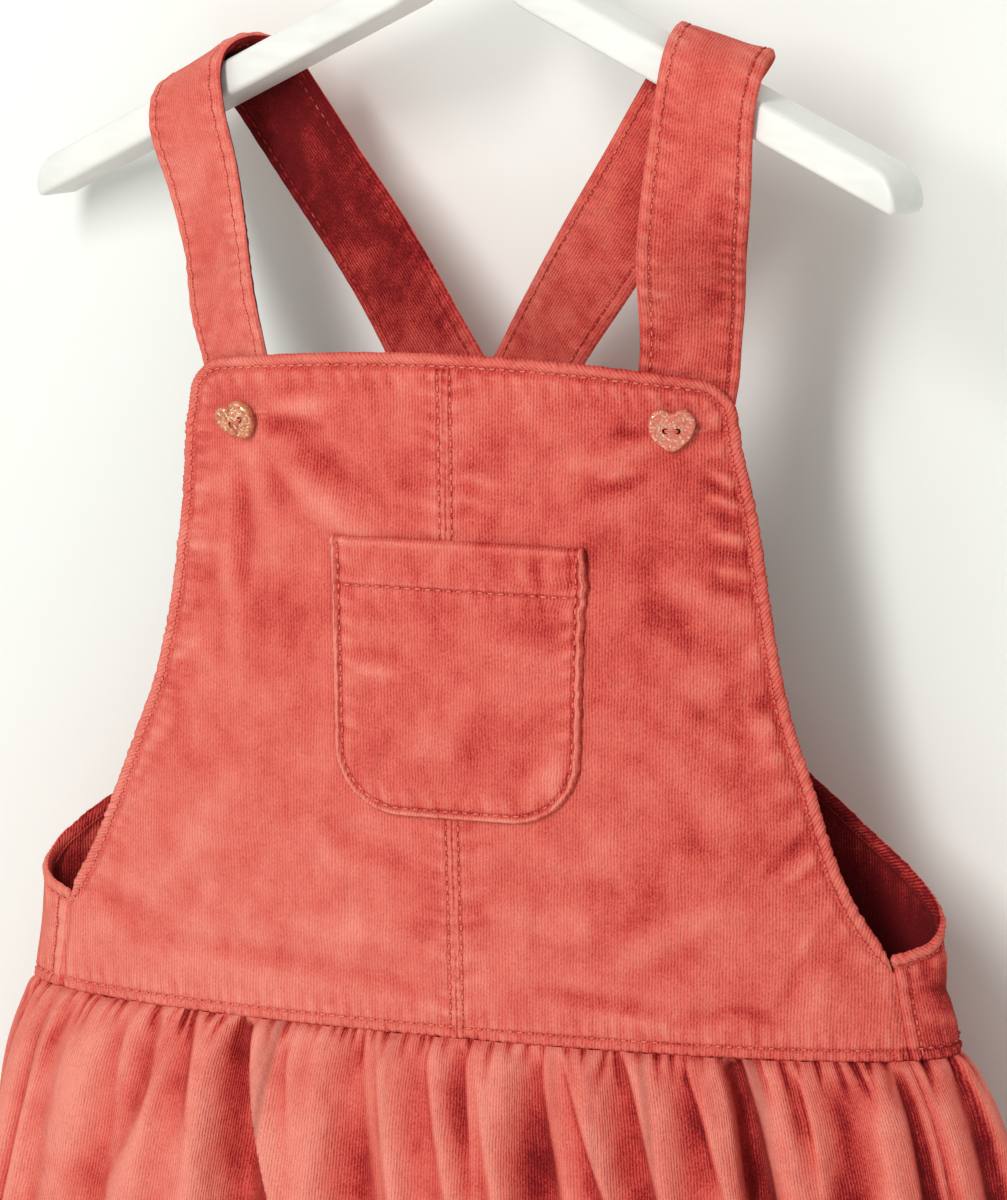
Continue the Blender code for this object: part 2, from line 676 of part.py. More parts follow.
for old in list(bpy.data.objects):
    bpy.data.objects.remove(old)
parts = bpy.data.collections.new("pinafore_dress_on_hanger")
cutters = bpy.data.collections.new("cutters")
bpy.context.scene.collection.children.link(parts)
bpy.context.scene.collection.children.link(cutters)

corduroy = material("coral_corduroy", CLOTH, 0.85)
binding = material("coral_binding", (0.70, 0.13, 0.10), 0.85)
glitter = material("rose_glitter_resin", (0.62, 0.22, 0.15), 0.3)
white_paint = material("white_paint", (0.80, 0.80, 0.76), 0.4)
steel = material("hook_steel", (0.70, 0.70, 0.70), 0.3, 1.0)

front_panel("front_left", -1, 9, corduroy)
front_panel("front_right", 1, 9, corduroy)
bib_edge(binding)
back_panel(corduroy)
back_edge(binding)
strap("strap_left", LEFT_FRONT, LEFT_OVER, LEFT_BACK, corduroy)
strap("strap_right", RIGHT_FRONT, RIGHT_OVER, RIGHT_BACK, corduroy)
pocket(corduroy)
skirt_panel("skirt_front", -SIDE_SEAM_ANGLE, SIDE_SEAM_ANGLE, FRONT_FOLDS, corduroy)
skirt_panel("skirt_back", SIDE_SEAM_ANGLE, 2 * math.pi - SIDE_SEAM_ANGLE, BACK_FOLDS, corduroy)
for row in BUTTONS:
    button(*row, glitter)
hanger_bar(white_paint)
hook(steel)
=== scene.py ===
"""The looks of a child's corduroy pinafore dress on its hanger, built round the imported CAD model.

Metres in Blender, millimetres in the tables and functions here. The dress faces -Y, +Z is up, and
the origin is the inside top of the hanger's hook. Each cloth piece is a thin shell on the form of
its CAD solid, with its creases, puckers and seams as relief on that form.
"""

import math

import bpy
import numpy as np
from mathutils import Euler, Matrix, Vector
from mathutils.kdtree import KDTree


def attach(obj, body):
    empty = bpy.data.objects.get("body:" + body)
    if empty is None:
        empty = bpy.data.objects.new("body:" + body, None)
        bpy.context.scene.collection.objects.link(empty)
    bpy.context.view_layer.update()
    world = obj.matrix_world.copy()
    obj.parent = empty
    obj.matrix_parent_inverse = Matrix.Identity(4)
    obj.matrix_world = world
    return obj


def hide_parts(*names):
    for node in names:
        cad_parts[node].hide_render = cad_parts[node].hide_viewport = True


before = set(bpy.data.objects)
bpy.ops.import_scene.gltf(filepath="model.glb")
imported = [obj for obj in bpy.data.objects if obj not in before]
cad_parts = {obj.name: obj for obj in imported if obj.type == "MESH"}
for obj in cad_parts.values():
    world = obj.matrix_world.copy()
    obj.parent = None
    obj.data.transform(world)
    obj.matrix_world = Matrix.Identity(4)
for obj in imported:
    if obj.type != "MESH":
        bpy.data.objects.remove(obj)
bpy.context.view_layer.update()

MM = 0.001
WALE = 1.0  # mm from one wale of the corduroy to the next
SEAM_GAP = 0.3

# The dress's own sizes, as in its CAD model.
WAIST_Z = -406.5
SKIRT_LENGTH = 220.0
STRAP_WIDTH = 32.5
BODICE_WALL = 2.0
SKIRT_WALL = 1.4
STRAP_WALL = 3.0
POCKET_WALL = 1.5
EDGE_BAND = 4.3
EDGE_BAND_WALL = 3.0
RING_POWER = 2.2
RING_X = 2.2
RING_Y = 3.0
SIDE_SEAM_ANGLE = math.radians(64.5)
SIDE_SEAM_GAP = 0.001
FRONT_RING = (  # height over the waist, half width, front depth
    (0, 155.5, 31), (30, 150.6, 31), (60, 144.5, 32), (88, 136, 32.5), (133, 119, 32.5), (160, 110, 32),
    (187, 104, 31.5), (220, 100, 31),
)
BACK_RING = (  # height over the waist, half width, depth before and behind the ring's ends, middle
    (0, 155.5, 31, 27, 2.2), (30, 150.6, 31, 27, 1.2), (60, 149.5, 31, 27, 1),
)
BIB_TWIST = 0.035
TWIST_FOOT = 30.0
BIB_SIDE = (  # level over the waist, half width, middle
    (0, 140.9, 2.2), (30, 136.5, 1.2), (34, 135.8, 0.9), (39, 133, 0.4), (48, 127.6, 0.2), (60, 122, 0.3),
    (88.3, 111.8, 1.5), (111, 104, 2), (136, 98.9, 1.9), (153.5, 96.6, 1.4), (167, 94.9, 1),
    (183, 93.2, -0.4), (196, 91.6, -1.6), (204.5, 90.3, -1.5),
)
UNDERARM = 33.5
BIB_BAND_END = 30.5
SEAM_PLAIN = 8.0
BIB_TOP = 217.5
BIB_CORNER_LEVEL = 204.5
BIB_CORNER = 13.0
BIB_DROOP = 0.000925
CENTRE_SEAM = (-1.6, 2.4)  # x at the top and at the waist
BACK_EDGE = (  # ring angle in degrees, height over the waist
    (64.5, 33.5), (80, 37), (90, 41), (99, 45.5), (107, 50), (123.8, 63.5), (132.9, 74), (139.7, 83.5),
    (161.5, 130), (166, 133), (180, 133),
)
SKIRT_RING = (  # depth under the waist, half width, front depth, back depth, middle
    (0, 155.5, 31, 27, 2.2), (6, 159, 34.5, 30.5, 2.4), (20, 165, 39, 35, 2.8), (45, 171.5, 44, 40, 3.5),
    (100, 184, 51, 46, 4), (160, 195, 56, 51, 4), (220, 204, 60, 55, 4),
)
# Folds: share of the panel's width at the waist and at the hem, depth at 50 mm and at the hem,
# half width at the hem.
FRONT_FOLDS = (
    (0.022, 0.060, 4, 9, 12), (0.105, 0.120, 2, 7, 11), (0.186, 0.195, 3.5, 7, 11),
    (0.250, 0.285, 5.5, 12, 14), (0.320, 0.345, 3, 5, 9), (0.385, 0.410, 4, 10, 13),
    (0.458, 0.470, 3, 6, 10), (0.585, 0.595, 7.5, 13, 15), (0.680, 0.665, 4.5, 9, 11),
    (0.748, 0.738, 4.5, 8, 10), (0.800, 0.820, 8, 13, 12), (0.908, 0.880, 5, 9, 11),
    (0.972, 0.955, 5, 8, 10),
)
BACK_FOLDS = (
    (0.040, 0.045, 3, 8, 12), (0.130, 0.120, 4, 12, 14), (0.225, 0.220, 3, 8, 12),
    (0.310, 0.320, 5, 13, 14), (0.425, 0.420, 3, 9, 12), (0.520, 0.505, 4, 12, 13),
    (0.605, 0.610, 3, 8, 12), (0.700, 0.695, 5, 13, 14), (0.790, 0.795, 3, 9, 12),
    (0.880, 0.875, 4, 11, 13), (0.960, 0.955, 3, 7, 11),
)
POCKET_X = 2.9
POCKET_TOP = 160.0
POCKET_HEIGHT = 88.0
POCKET_HALF = (41.0, 39.7)
POCKET_CORNER = 22.0
BUTTON_WIDTH = 14.5
BUTTON_HEIGHT = 13.2
BUTTON_THICK = 3.0
BUTTON_HOLE = 1.9
BUTTON_HOLE_APART = 3.8
BUTTON_GAP = 0.5
BUTTON_SLANT = math.radians(35.0)
BUTTONS = (  # name, x, height over the waist, turn and lean in degrees
    ("button_left", -70.8, 193.2, 30.0, 10.0),
    ("button_right", 69.9, 197.1, 0.0, 4.0),
)
HANGER_TURN = math.radians(-17.0)
HANGER_SLOPE = math.radians(24.3)
HANGER_TOP = -62.8
HANGER_DEPTH = 20.0
HANGER_HEIGHT = 11.0
HANGER_LEFT = 168.0
HANGER_RIGHT = 149.5
HANGER_TIP_ROUND = 7.0
HANGER_ROLL = math.radians(-0.4)
HANGER_NECK = 26.0
HANGER_NECK_RISE = 0.030
HANGER_NECK_DEEPER = 1.15
HOOK_WIRE = 1.7
HOOK_RADIUS = 18.0
HOOK_FLAT = 6.0
# Strap rows: x, y, z of the strap's middle, then the turn and the rise of its width in degrees.
LEFT_FRONT = (
    (-71, 0, -231, -38, 0), (-72, 0, -212, -40, 0), (-76, -3.5, -192, -42, 6), (-85, 4.5, -168, -36, 12),
    (-93.5, 12.5, -141, -27, 18),
)
LEFT_BACK = (
    (-73.5, 40.5, -124, -21, 30), (-59.5, 36.5, -142, -23, 33), (-45, 32, -160, -23, 34),
    (-33, 27, -176, -22, 34), (-19.5, 22, -196.5, -19, 33), (-2, 18.5, -223, -15, 32),
    (14, 19.5, -245, -6, 30), (30, 23.4, -270, 0, 24), (38, 24.2, -289, 0, 16),
)
RIGHT_FRONT = (
    (70.5, 0, -231, 31, 0), (71.5, 0, -212, 31, 0), (73.1, -17, -190, 30, -4),
    (75, -25.5, -164.5, 20, -6), (78.8, -36, -139.5, 4, -10),
)
RIGHT_BACK = (
    (68, -8.5, -116.5, -15, -30), (54.5, -3, -138, -17, -32), (36.5, 7.5, -164, -22, -33),
    (19.5, 17, -189.5, -31, -32), (10.5, 23.5, -205, -30, -32), (-2, 27.5, -225, -15, -32),
    (-17, 27, -247, -4, -30), (-31, 24.8, -271, 0, -24), (-38, 24.2, -289, 0, -16),
)
# The loop over the hanger: distance along the arm at the bar's front and back faces, lift over the
# bar, then the turn and the rise of its width.
LOOP_FOOT = 5.0
LOOP_GAP = 1.3
LOOP_BLEND = 12.0
LOOP_ROWS = 7
STRAP_GAP = 0.9
LEFT_OVER = (-104.5, -93.5, 5.0, -20.0, 27.0)
RIGHT_OVER = (91.5, 77.5, 8.5, -14.0, -14.0)

# Creases of the bodice's front: x and level at both ends, how far the middle bows to the left of
# the way from the first end to the second, half width, rise (under 0 for a trough).
FRONT_CREASES = (
    (-65, 196.4, -40, 194, -1, 3.2, -2.3), (-60, 201, -36, 201.5, 0, 3.4, 1),
    (-61, 190, -20, 154, -3, 6.5, 2.8), (-54, 195, -16, 167, -2, 6, -2.2),
    (-71, 184, -70, 140, 1, 4.2, -2.6), (-62, 178, -58, 146, 2, 5, 1), (-79, 160, -71, 104, 2, 6, 1.7),
    (-58, 150, -46, 86, 3, 6.5, -1.5), (-64, 98, -104, 36, 4, 8.5, 2), (-46, 74, -84, 28, -3, 6, -0.9),
    (-114, 22, 4, 12.5, 3, 4.2, -1.5), (-60, 33, 2, 25, 3, 7, 1.2), (-44, 67, -6, 54, -2, 5, -1.1),
    (-126, 44, -98, 30, 3, 4.5, 0.9), (-128, 36, -104, 19, 2, 3.5, -0.9),
    (-107, 82, -94, 98, 0, 2.2, 0.7), (-113, 66, -102, 82, 0, 2, -0.8), (-98, 113, -84, 124, 0, 2.2, 0.8),
    (-96, 125, -82, 137, 0, 2.2, -0.8), (-93, 163, -75, 169, 0, 2, -0.9),
    (-91, 172, -75, 178, 0, 2.2, 0.7), (-92, 155, -77, 153, 0, 2.2, 0.8),
    (-90, 147, -78, 143, 0, 2, -0.7), (66, 197, 36, 186, 3, 4.5, 1.5), (64, 190, 44, 175, 2, 3.6, -0.7),
    (63.5, 198, 50, 197, 0, 1.6, -1.3), (77, 198.5, 88, 202, 0, 1.6, -1.2), (56, 182, 30, 160, 4, 7, 1.1),
    (36, 192, 22, 170, 0, 5, -1), (64, 188, 46, 183, 1, 2, 1.1), (63, 184.5, 46, 178.5, 1, 1.8, -0.7),
    (79, 188.5, 90.5, 183, 0, 1.8, 1.6), (78, 184, 90.5, 179, 0, 1.5, -0.9),
    (80, 179.5, 91.5, 176, 0, 1.6, 1.4), (79, 174.5, 92, 171.5, 0, 1.5, -0.9),
    (81, 167.5, 93.5, 165, 0, 1.8, 1.5), (80, 163, 94, 160.5, 0, 1.5, -0.9),
    (82, 156.5, 95.5, 153.5, 0, 1.9, 1.2), (81, 151, 96.5, 147.5, 0, 1.6, -0.9),
    (60, 147, 97, 127, -4, 5, -1.1), (62, 161, 97, 141, -4, 5.5, 1.3), (56, 136, 88, 118, -3, 7, 1.2),
    (68, 117, 98, 100, -1, 3.2, -1.1), (90, 118, 104, 84, 3, 4.5, 1.4), (46, 108, 80, 84, 3, 8, 1.2),
    (44, 84, 92, 66, -3, 7, -1), (98, 58, 113, 75, -1, 2, -1), (104, 56, 117, 70, -1, 2, 0.8),
    (52, 26, 96, 50, 3, 8, 1.9), (26, 19, 72, 13.5, -1, 3.2, -1.5), (70, 9.5, 93, 16, 0, 2.4, -1.2),
    (90, 16.5, 108, 10.5, 0, 2.4, -1.1), (46, 13, 74, 7, 0, 3, 0.8), (112, 36, 103, 14, 1, 2.4, -1.1),
    (119, 34, 112, 12, 1, 3, 0.8), (115, 44, 109, 31, 0, 2, 0.8), (10, 57, 58, 51, -2, 5.5, -1.3),
    (10, 44, 50, 38, -2, 6, 1), (3, 181.5, 18, 177.5, 0, 1.9, 0.9), (2, 174, 17, 170.5, 0, 1.9, 0.8),
    (-4, 178, -18, 176, 0, 2, -0.7), (-30, 208, -24, 192, 0, 3, 0.6), (24, 209, 28, 196, 0, 3, 0.6),
)
POCKET_CREASES = (
    (-35, 123.5, -10, 121, 1, 2.4, -0.9), (-34, 118, -14, 117, 0, 2.6, 0.8),
    (-34, 134, -14, 131, 0, 3, 0.5), (-16, 88, 10, 116, -3, 7, 1.2), (-2, 80, 24, 96, 2, 6, -0.7),
    (24, 80, 38, 96, -2, 5, 1.2), (27, 158, 29.5, 146, 0, 1.6, -0.9), (23.5, 157, 25, 147, 0, 1.8, 0.7),
    (32, 157, 33.5, 147, 0, 1.8, 0.6), (-12, 157, -10, 146, 0, 2.6, -0.6), (-2, 158, 0, 146, 0, 4, 0.6),
    (8, 138, 36, 132, 0, 3, -0.6), (12, 128, 38, 122, 1, 4, 0.6),
)
# Creases of the bodice's back: distance along it from its right side seam at the waist, and
# height, at both ends, then bow, half width and rise as above.
BACK_CREASES = (
    (6, 22, 34, 15, 2, 2.6, -1.4), (4, 14, 26, 8, 1, 2.6, 1), (12, 31, 36, 25, 1, 3, 1),
    (30, 34, 72, 20, -3, 4, -1.3), (52, 44, 92, 26, -3, 6, 1.4), (70, 16, 118, 11, 2, 3.6, -1.2),
    (96, 56, 122, 24, 4, 6.5, 1.5), (104, 84, 128, 58, -3, 5, -1.2), (124, 114, 150, 80, 3, 5.5, 1.1),
    (128, 48, 176, 34, 4, 6, -1.2), (142, 66, 192, 56, -4, 7, 1.2), (150, 98, 170, 76, 2, 4.6, -1),
    (176, 22, 226, 13, -2, 3.8, -1.3), (184, 92, 202, 62, -3, 6, 1.3), (196, 74, 222, 42, 2, 5, -1.1),
    (222, 60, 262, 34, 3, 6, 1.4), (246, 19, 288, 12, 2, 3.4, -1.3), (262, 46, 300, 22, -2, 4, -1.1),
    (284, 33, 310, 21, 1, 4, 1.1), (300, 26, 326, 15, -1, 2.6, -1.1),
)
# Creases of the straps: distance along the strap from its end behind the bib, and across it, at
# both ends, then as above.
STRAP_CREASES = (
    (26, -14, 44, 12, 2, 3, -0.9), (38, -15, 58, 4, 1, 3.2, 0.9), (60, 14, 84, -4, 2, 4, -0.7),
    (92, -10, 118, 8, 3, 5, 0.7), (150, -12, 168, 12, 2, 4, -0.7), (176, 12, 206, -8, 2, 5, 0.7),
    (214, -14, 236, 6, 0, 4, -0.7), (248, 10, 270, -10, 0, 4, 0.8),
)

CREASE_DEPTH = 0.63  # share of the crease tables' rise
CREST_HEIGHT = 0.75  # mm over its surroundings at which a crest is fully paler, from wear and painted highlight
CREST_SHARE = 0.34  # of the corduroy's tones that a crest at full height adds, as wear and painted highlight
SUNK_SHARE = 0.5  # how much less a trough is darkened, as painted shade, than a crest is made paler
RIM_BULGE = 0.3
SIDE_MEET = 0.6  # mm that the front reaches further than its CAD solid, to close the side seams
INNER_RELIEF = 0.9  # share of its relief that the bodice's wrong side follows
SEAM_GROOVE = 0.7  # depth of the groove beside a binding
GROOVE_REACH = 1.2
PUCKER_DEPTH = 0.42  # of the puckers that a seam pulls into the bodice
PUCKER_REACH = 7.0
PUCKER_PITCH = 3.2
TO_LEFT = 200.0  # added to x for a ripple, whose places start at the left
BACK_SAMPLES = 1441  # places round the back at which its length is measured
CLOSE_ROWS = 8.0  # mm over the waist up to which the front's rows are close together
UNDER_BAND = 0.5  # mm that the bodice reaches under its bindings
BAND_POINT = 0.5  # share of an inset by which it ends lower at the side seam
WALE_BUMP = 0.00018  # m
RUMPLE_BUMP = 0.0009  # m
WRONG_SIDE_WEAVE_AND_SHADE = -1.5  # crest value of the cloth's wrong side, darker for its plainer weave and for painted shade
SEAM_STITCH = 2.0
SIDE_STITCH = 4.6
WAIST_STITCH = 3.7
STITCH_PITCH = 3.3
HALF_STITCH = STITCH_PITCH / 2
BAND_STITCH = 0.9
POCKET_STITCH = 2.5
POCKET_HEM = 15.2
POCKET_LIFT = 0.4
STRAP_STITCH = 3.6
THREAD_RADIUS = 0.24  # of the buttons' thread and the satin stitches
STITCH_STEP = 0.8  # mm between the places that a line of stitches is read from
STRAP_EDGE_ROUND = 1.8
STRAP_FREE = 250.0  # height over the waist from which a strap doesn't rest against the bib
STRAP_FREE_FADE = 36.0
STRAP_EVENED = 4  # places along a strap, each way, over which its bends are evened out
HEM_FOLD = 24.0
SKIRT_GATHER_WIDTH = 335.0
DRAPE_DEPTH = 1.35
BEND_WEIGHT = 14.0
BAR_ROUND = 2.2
BAR_END = 12.0  # length of each end of the bar with closer rings
WOOD_SPOT = (140.0, -53.0, -142.0)
# Drapes of the skirt's upper part: share of the panel's width 5 mm and 45 mm under the waist, depth
# of the trough at 20 mm and at 45 mm, and its reach to the left and to the right at the waist.
FRONT_DRAPES = (
    (0.026, 0.034, 1.6, 1.4, 3, 5), (0.104, 0.112, 1.5, 0.8, 5, 2.4), (0.143, 0.150, 1.4, 0.5, 4, 2.4),
    (0.160, 0.124, 2.6, 4.5, 9, 4.5), (0.187, 0.202, 2.8, 1.5, 6, 3), (0.250, 0.268, 5, 6, 5, 3.5),
    (0.254, 0.290, 3, 7.5, 5.5, 1.9), (0.301, 0.318, 2.2, 0.8, 3, 2.4), (0.376, 0.392, 2.6, 4.5, 8, 5),
    (0.404, 0.422, 2.4, 3.6, 7, 2.4), (0.460, 0.482, 2.2, 3, 7, 2.4), (0.504, 0.512, 2.8, 1.6, 3.6, 2.2),
    (0.514, 0.530, 1.6, 3.4, 5, 2.4), (0.579, 0.592, 3.2, 4.5, 6, 3.5), (0.614, 0.644, 3, 5.4, 7, 2.2),
    (0.682, 0.700, 4.2, 6.6, 7, 2.3), (0.747, 0.768, 2.4, 3.4, 6, 2.2), (0.806, 0.812, 9, 10, 2.6, 3.4),
    (0.867, 0.864, 2.4, 0.6, 2.4, 1.8), (0.925, 0.896, 2.6, 3.6, 6, 6), (0.955, 0.950, -2, -1.6, 8, 4),
    (0.984, 0.984, 3.6, 5.5, 2.4, 3),
)
BACK_DRAPES = (
    (0.036, 0.044, 3, 4, 5, 3.5), (0.092, 0.100, 2.6, 1.2, 4, 2.6), (0.130, 0.124, 3.4, 5.6, 7, 2.6),
    (0.188, 0.196, 2.2, 1, 5, 2.6), (0.225, 0.222, 2.6, 3.4, 6, 3), (0.268, 0.282, 2.8, 1.6, 4, 2.6),
    (0.310, 0.318, 4.6, 6.4, 6, 2.6), (0.372, 0.380, 2.4, 2.6, 7, 2.6), (0.425, 0.420, 3, 4.4, 6, 3.4),
    (0.470, 0.484, 2.4, 1, 4, 2.4), (0.520, 0.508, 4, 6, 7, 2.6), (0.566, 0.574, 2.4, 2.8, 5, 2.4),
    (0.605, 0.610, 2.8, 3.6, 6, 3), (0.655, 0.648, 2.6, 1, 3.6, 2.4), (0.700, 0.696, 4.6, 6.4, 6, 2.8),
    (0.744, 0.756, 2.2, 2, 5, 2.4), (0.790, 0.795, 2.8, 4, 6, 3.2), (0.838, 0.832, 2.6, 1.2, 4, 2.4),
    (0.880, 0.876, 3.8, 5.2, 6, 2.8), (0.925, 0.930, 2.4, 1.4, 4, 2.4), (0.962, 0.956, 3, 3.6, 4, 3.4),
)
CORAL = (
    (0.00, (0.15, 0.009, 0.011)), (0.15, (0.32, 0.020, 0.021)), (0.32, (0.56, 0.062, 0.051)),
    (0.52, (0.69, 0.124, 0.096)), (0.75, (0.76, 0.190, 0.147)), (1.00, (0.84, 0.275, 0.215)),
)
# A button's heart: degrees from its notch, distance from its middle.
HEART = np.array([
    (0.0, 4.7), (14.0, 5.9), (32.0, 7.0), (52.0, 7.4), (74.0, 7.1), (98.0, 6.5), (124.0, 6.0),
    (150.0, 6.1), (168.0, 6.6), (180.0, 6.8),
])
# A button's edge, from its back to its front: share of the outline, distance out from its middle.
BUTTON_EDGE = (
    (0.55, -1.5), (0.86, -1.5), (0.955, -1.32), (0.992, -0.85), (1.0, -0.25), (0.998, 0.5),
    (0.975, 1.05), (0.925, 1.38), (0.85, 1.5), (0.72, 1.42), (0.55, 1.36),
)


# Curves and surfaces.


def smooth(table, column, x):
    """A smooth, never overshooting curve through the table's first column and this one."""
    knots = np.array([row[0] for row in table], float)
    values = np.array([row[column] for row in table], float)
    run = np.diff(knots)
    grade = np.diff(values) / run
    slope = np.concatenate([grade[:1], np.zeros(len(grade) - 1), grade[-1:]])
    same_way = grade[:-1] * grade[1:] > 0
    product = 2 * grade[:-1] * grade[1:]
    total = np.where(same_way, grade[:-1] + grade[1:], 1.0)
    slope[1:-1] = np.where(same_way, product / total, 0.0)
    x = np.clip(np.asarray(x, float), knots[0], knots[-1])
    k = np.clip(np.searchsorted(knots, x, side="right") - 1, 0, len(run) - 1)
    u = (x - knots[k]) / run[k]
    start = values[k] * (1 + 2 * u) * (1 - u) ** 2 + slope[k] * run[k] * u * (1 - u) ** 2
    return start + values[k + 1] * u**2 * (3 - 2 * u) - slope[k + 1] * run[k] * u**2 * (1 - u)


def power_wave(value):
    return np.sign(value) * np.abs(value) ** (2 / RING_POWER)


def ring(angle, half_width, front, back, middle=RING_X):
    """x and y on the ring at this angle, which is 0 at the centre front and positive to +X."""
    depth = np.where(np.cos(angle) > 0, front, back)
    x = middle + half_width * power_wave(np.sin(angle))
    return x, RING_Y - depth * power_wave(np.cos(angle))


def front_y(x, height):
    """y of the front's outer face at this x and height over the waist."""
    half_width = smooth(FRONT_RING, 1, height)
    depth = smooth(FRONT_RING, 2, height)
    share = np.clip(np.abs(x - RING_X) / half_width, 0.0, 1.0)
    bow = (1 - share**RING_POWER) ** (1 / RING_POWER)
    twist = BIB_TWIST * x * np.clip((height - TWIST_FOOT) / (BIB_TOP - TWIST_FOOT), 0.0, 1.0)
    return RING_Y - depth * bow - twist


def on_front(x, level):
    """Points of the front's outer face. A level is a height before the top edge's droop."""
    height = level - BIB_DROOP * x**2 * (level / BIB_TOP) ** 4
    return np.stack([x, front_y(x, height), WAIST_Z + height], -1)


def on_back(angle, height):
    size = [smooth(BACK_RING, column, height) for column in (1, 2, 3, 4)]
    x, y = ring(angle, *size)
    return np.stack([x, y, WAIST_Z + height], -1)


def even_angles(size, start, end, count):
    """Ring angles from start to end whose points are evenly spaced on a ring of this size."""
    fine = np.linspace(start, end, 721)
    x, y = ring(fine, *size)
    length = np.concatenate([[0.0], np.cumsum(np.hypot(np.diff(x), np.diff(y)))])
    return np.interp(np.linspace(0.0, length[-1], count), length, fine)


def unit(vectors):
    return vectors / np.linalg.norm(vectors, axis=-1, keepdims=True)


def outwards(points):
    """The normals of a grid of points (rows, columns, 3)."""
    return unit(np.cross(np.gradient(points, axis=1), np.gradient(points, axis=0)))


def lengths(line):
    """The distance of each point along a line."""
    return np.concatenate([[0.0], np.cumsum(np.linalg.norm(np.diff(line, axis=0), axis=1))])


def between(values, at, places):
    """Rows of values that are given at one set of distances, at other places."""
    return np.stack([np.interp(places, at, column) for column in values.T], -1)


def along_line(line, places):
    """Points of the line at these distances along it."""
    return between(line, lengths(line), places)


def spaced(start, end, count, dense=(), extra=3.0):
    """Places from start to end, closer together near each dense (place, reach)."""
    fine = np.linspace(start, end, 4001)
    weight = np.ones_like(fine)
    for place, reach in dense:
        weight += extra * np.exp(-(((fine - place) / reach) ** 2))
    total = np.concatenate([[0.0], np.cumsum((weight[1:] + weight[:-1]) / 2)])
    return np.interp(np.linspace(0.0, total[-1], count), total, fine)


def ease(value):
    value = np.clip(value, 0.0, 1.0)
    return value * value * (3 - 2 * value)


def bump(distance, reach):
    return np.exp(-((distance / reach) ** 2))


def ripple(place, pitch, seed):
    """An uneven wave from -1 to 1, a crest or a trough about every pitch, for places from -50 to 900."""
    draw = np.random.default_rng(seed)
    count = int(1000 / pitch)
    knots = np.cumsum(pitch * draw.uniform(0.6, 1.4, count)) - 60.0
    heights = draw.uniform(0.35, 1.0, count) * np.where(np.arange(count) % 2, 1.0, -1.0)
    k = np.clip(np.searchsorted(knots, place) - 1, 0, count - 2)
    u = ease((place - knots[k]) / (knots[k + 1] - knots[k]))
    return heights[k] + (heights[k + 1] - heights[k]) * u


def creases(table, u, v):
    """The relief of the table's soft troughs and ridges at (u, v)."""
    total = np.zeros(np.broadcast(u, v).shape)
    for u0, v0, u1, v1, bow, half, rise in table:
        length = math.hypot(u1 - u0, v1 - v0)
        du, dv = (u1 - u0) / length, (v1 - v0) / length
        along = ((u - u0) * du + (v - v0) * dv) / length
        across = (v - v0) * du - (u - u0) * dv - 4 * bow * along * (1 - along)
        fade = np.sin(math.pi * np.clip(along, 0.0, 1.0)) ** 0.75
        total += rise * fade * bump(across, half * (0.55 + 0.45 * fade))
    return CREASE_DEPTH * total


def from_line(line, u, v):
    """Each (u, v)'s distance from the line, and how far along it its nearest place is."""
    at = np.arange(0.0, lengths(line)[-1], 0.4)
    fine = along_line(line, at)
    tree = KDTree(len(fine))
    for index, place in enumerate(fine):
        tree.insert((place[0], place[1], 0.0), index)
    tree.balance()
    u, v = np.broadcast_arrays(u, v)
    found = [tree.find((a, b, 0.0)) for a, b in zip(u.ravel(), v.ravel())]
    distance = np.array([item[2] for item in found]).reshape(u.shape)
    return distance, at[np.array([item[1] for item in found])].reshape(u.shape)


# Materials.


def plug(tree, value, socket):
    """Gives a socket this value, or links it to this output."""
    if isinstance(value, bpy.types.NodeSocket):
        tree.links.new(value, socket)
    else:
        socket.default_value = value


def feed(tree, node, **inputs):
    """Plugs a value or another node's output into each input of a node that is named."""
    for key, value in inputs.items():
        plug(tree, value, node.inputs[key.replace("_", " ")])


def add(tree, kind, fixed=None, **inputs):
    """A shader node with these settings and inputs."""
    made = tree.nodes.new("ShaderNode" + kind)
    for key, value in (fixed or {}).items():
        setattr(made, key, value)
    feed(tree, made, **inputs)
    return made


def calc(tree, operation, *values, kind="Math"):
    """The output of a Math or VectorMath node on these values or outputs."""
    made = add(tree, kind, {"operation": operation})
    for value, socket in zip(values, made.inputs):
        plug(tree, value, socket)
    return made.outputs[0]


def part_of(tree, vector, axis):
    """The x, y or z of a vector output."""
    return add(tree, "SeparateXYZ", Vector=vector).outputs[axis]


def vector_of(tree, x, y):
    return add(tree, "CombineXYZ", X=x, Y=y).outputs[0]


def object_place(tree):
    return add(tree, "TexCoord").outputs["Object"]


def crest_value(tree):
    return add(tree, "Attribute", {"attribute_name": "crest"}).outputs["Fac"]


def remap(tree, value, low, high, to_low=0.0, to_high=1.0):
    """A value from the range low to high, moved to the other range and held inside it."""
    return add(
        tree, "MapRange", Value=value, From_Min=low, From_Max=high, To_Min=to_low, To_Max=to_high
    ).outputs[0]


def noise(tree, vector, scale, detail=2.0, rough=0.5, low=0.3, high=0.7):
    """A noise stretched so that low becomes 0 and high becomes 1."""
    made = add(tree, "TexNoise", Vector=vector, Scale=scale, Detail=detail, Roughness=rough)
    return remap(tree, made.outputs[0], low, high)


def ramp(tree, factor, stops):
    """A colour ramp through (place, colour) stops."""
    made = add(tree, "ValToRGB", Fac=factor)
    band = made.color_ramp.elements
    while len(band) < len(stops):
        band.new(0.5)
    for element, (place, colour) in zip(band, stops):
        element.position = place
        element.color = (*colour, 1.0)
    return made.outputs[0]


def bumped(tree, height, distance, normal=None):
    made = add(tree, "Bump", Height=height, Distance=distance)
    if normal is not None:
        feed(tree, made, Normal=normal)
    return made.outputs[0]


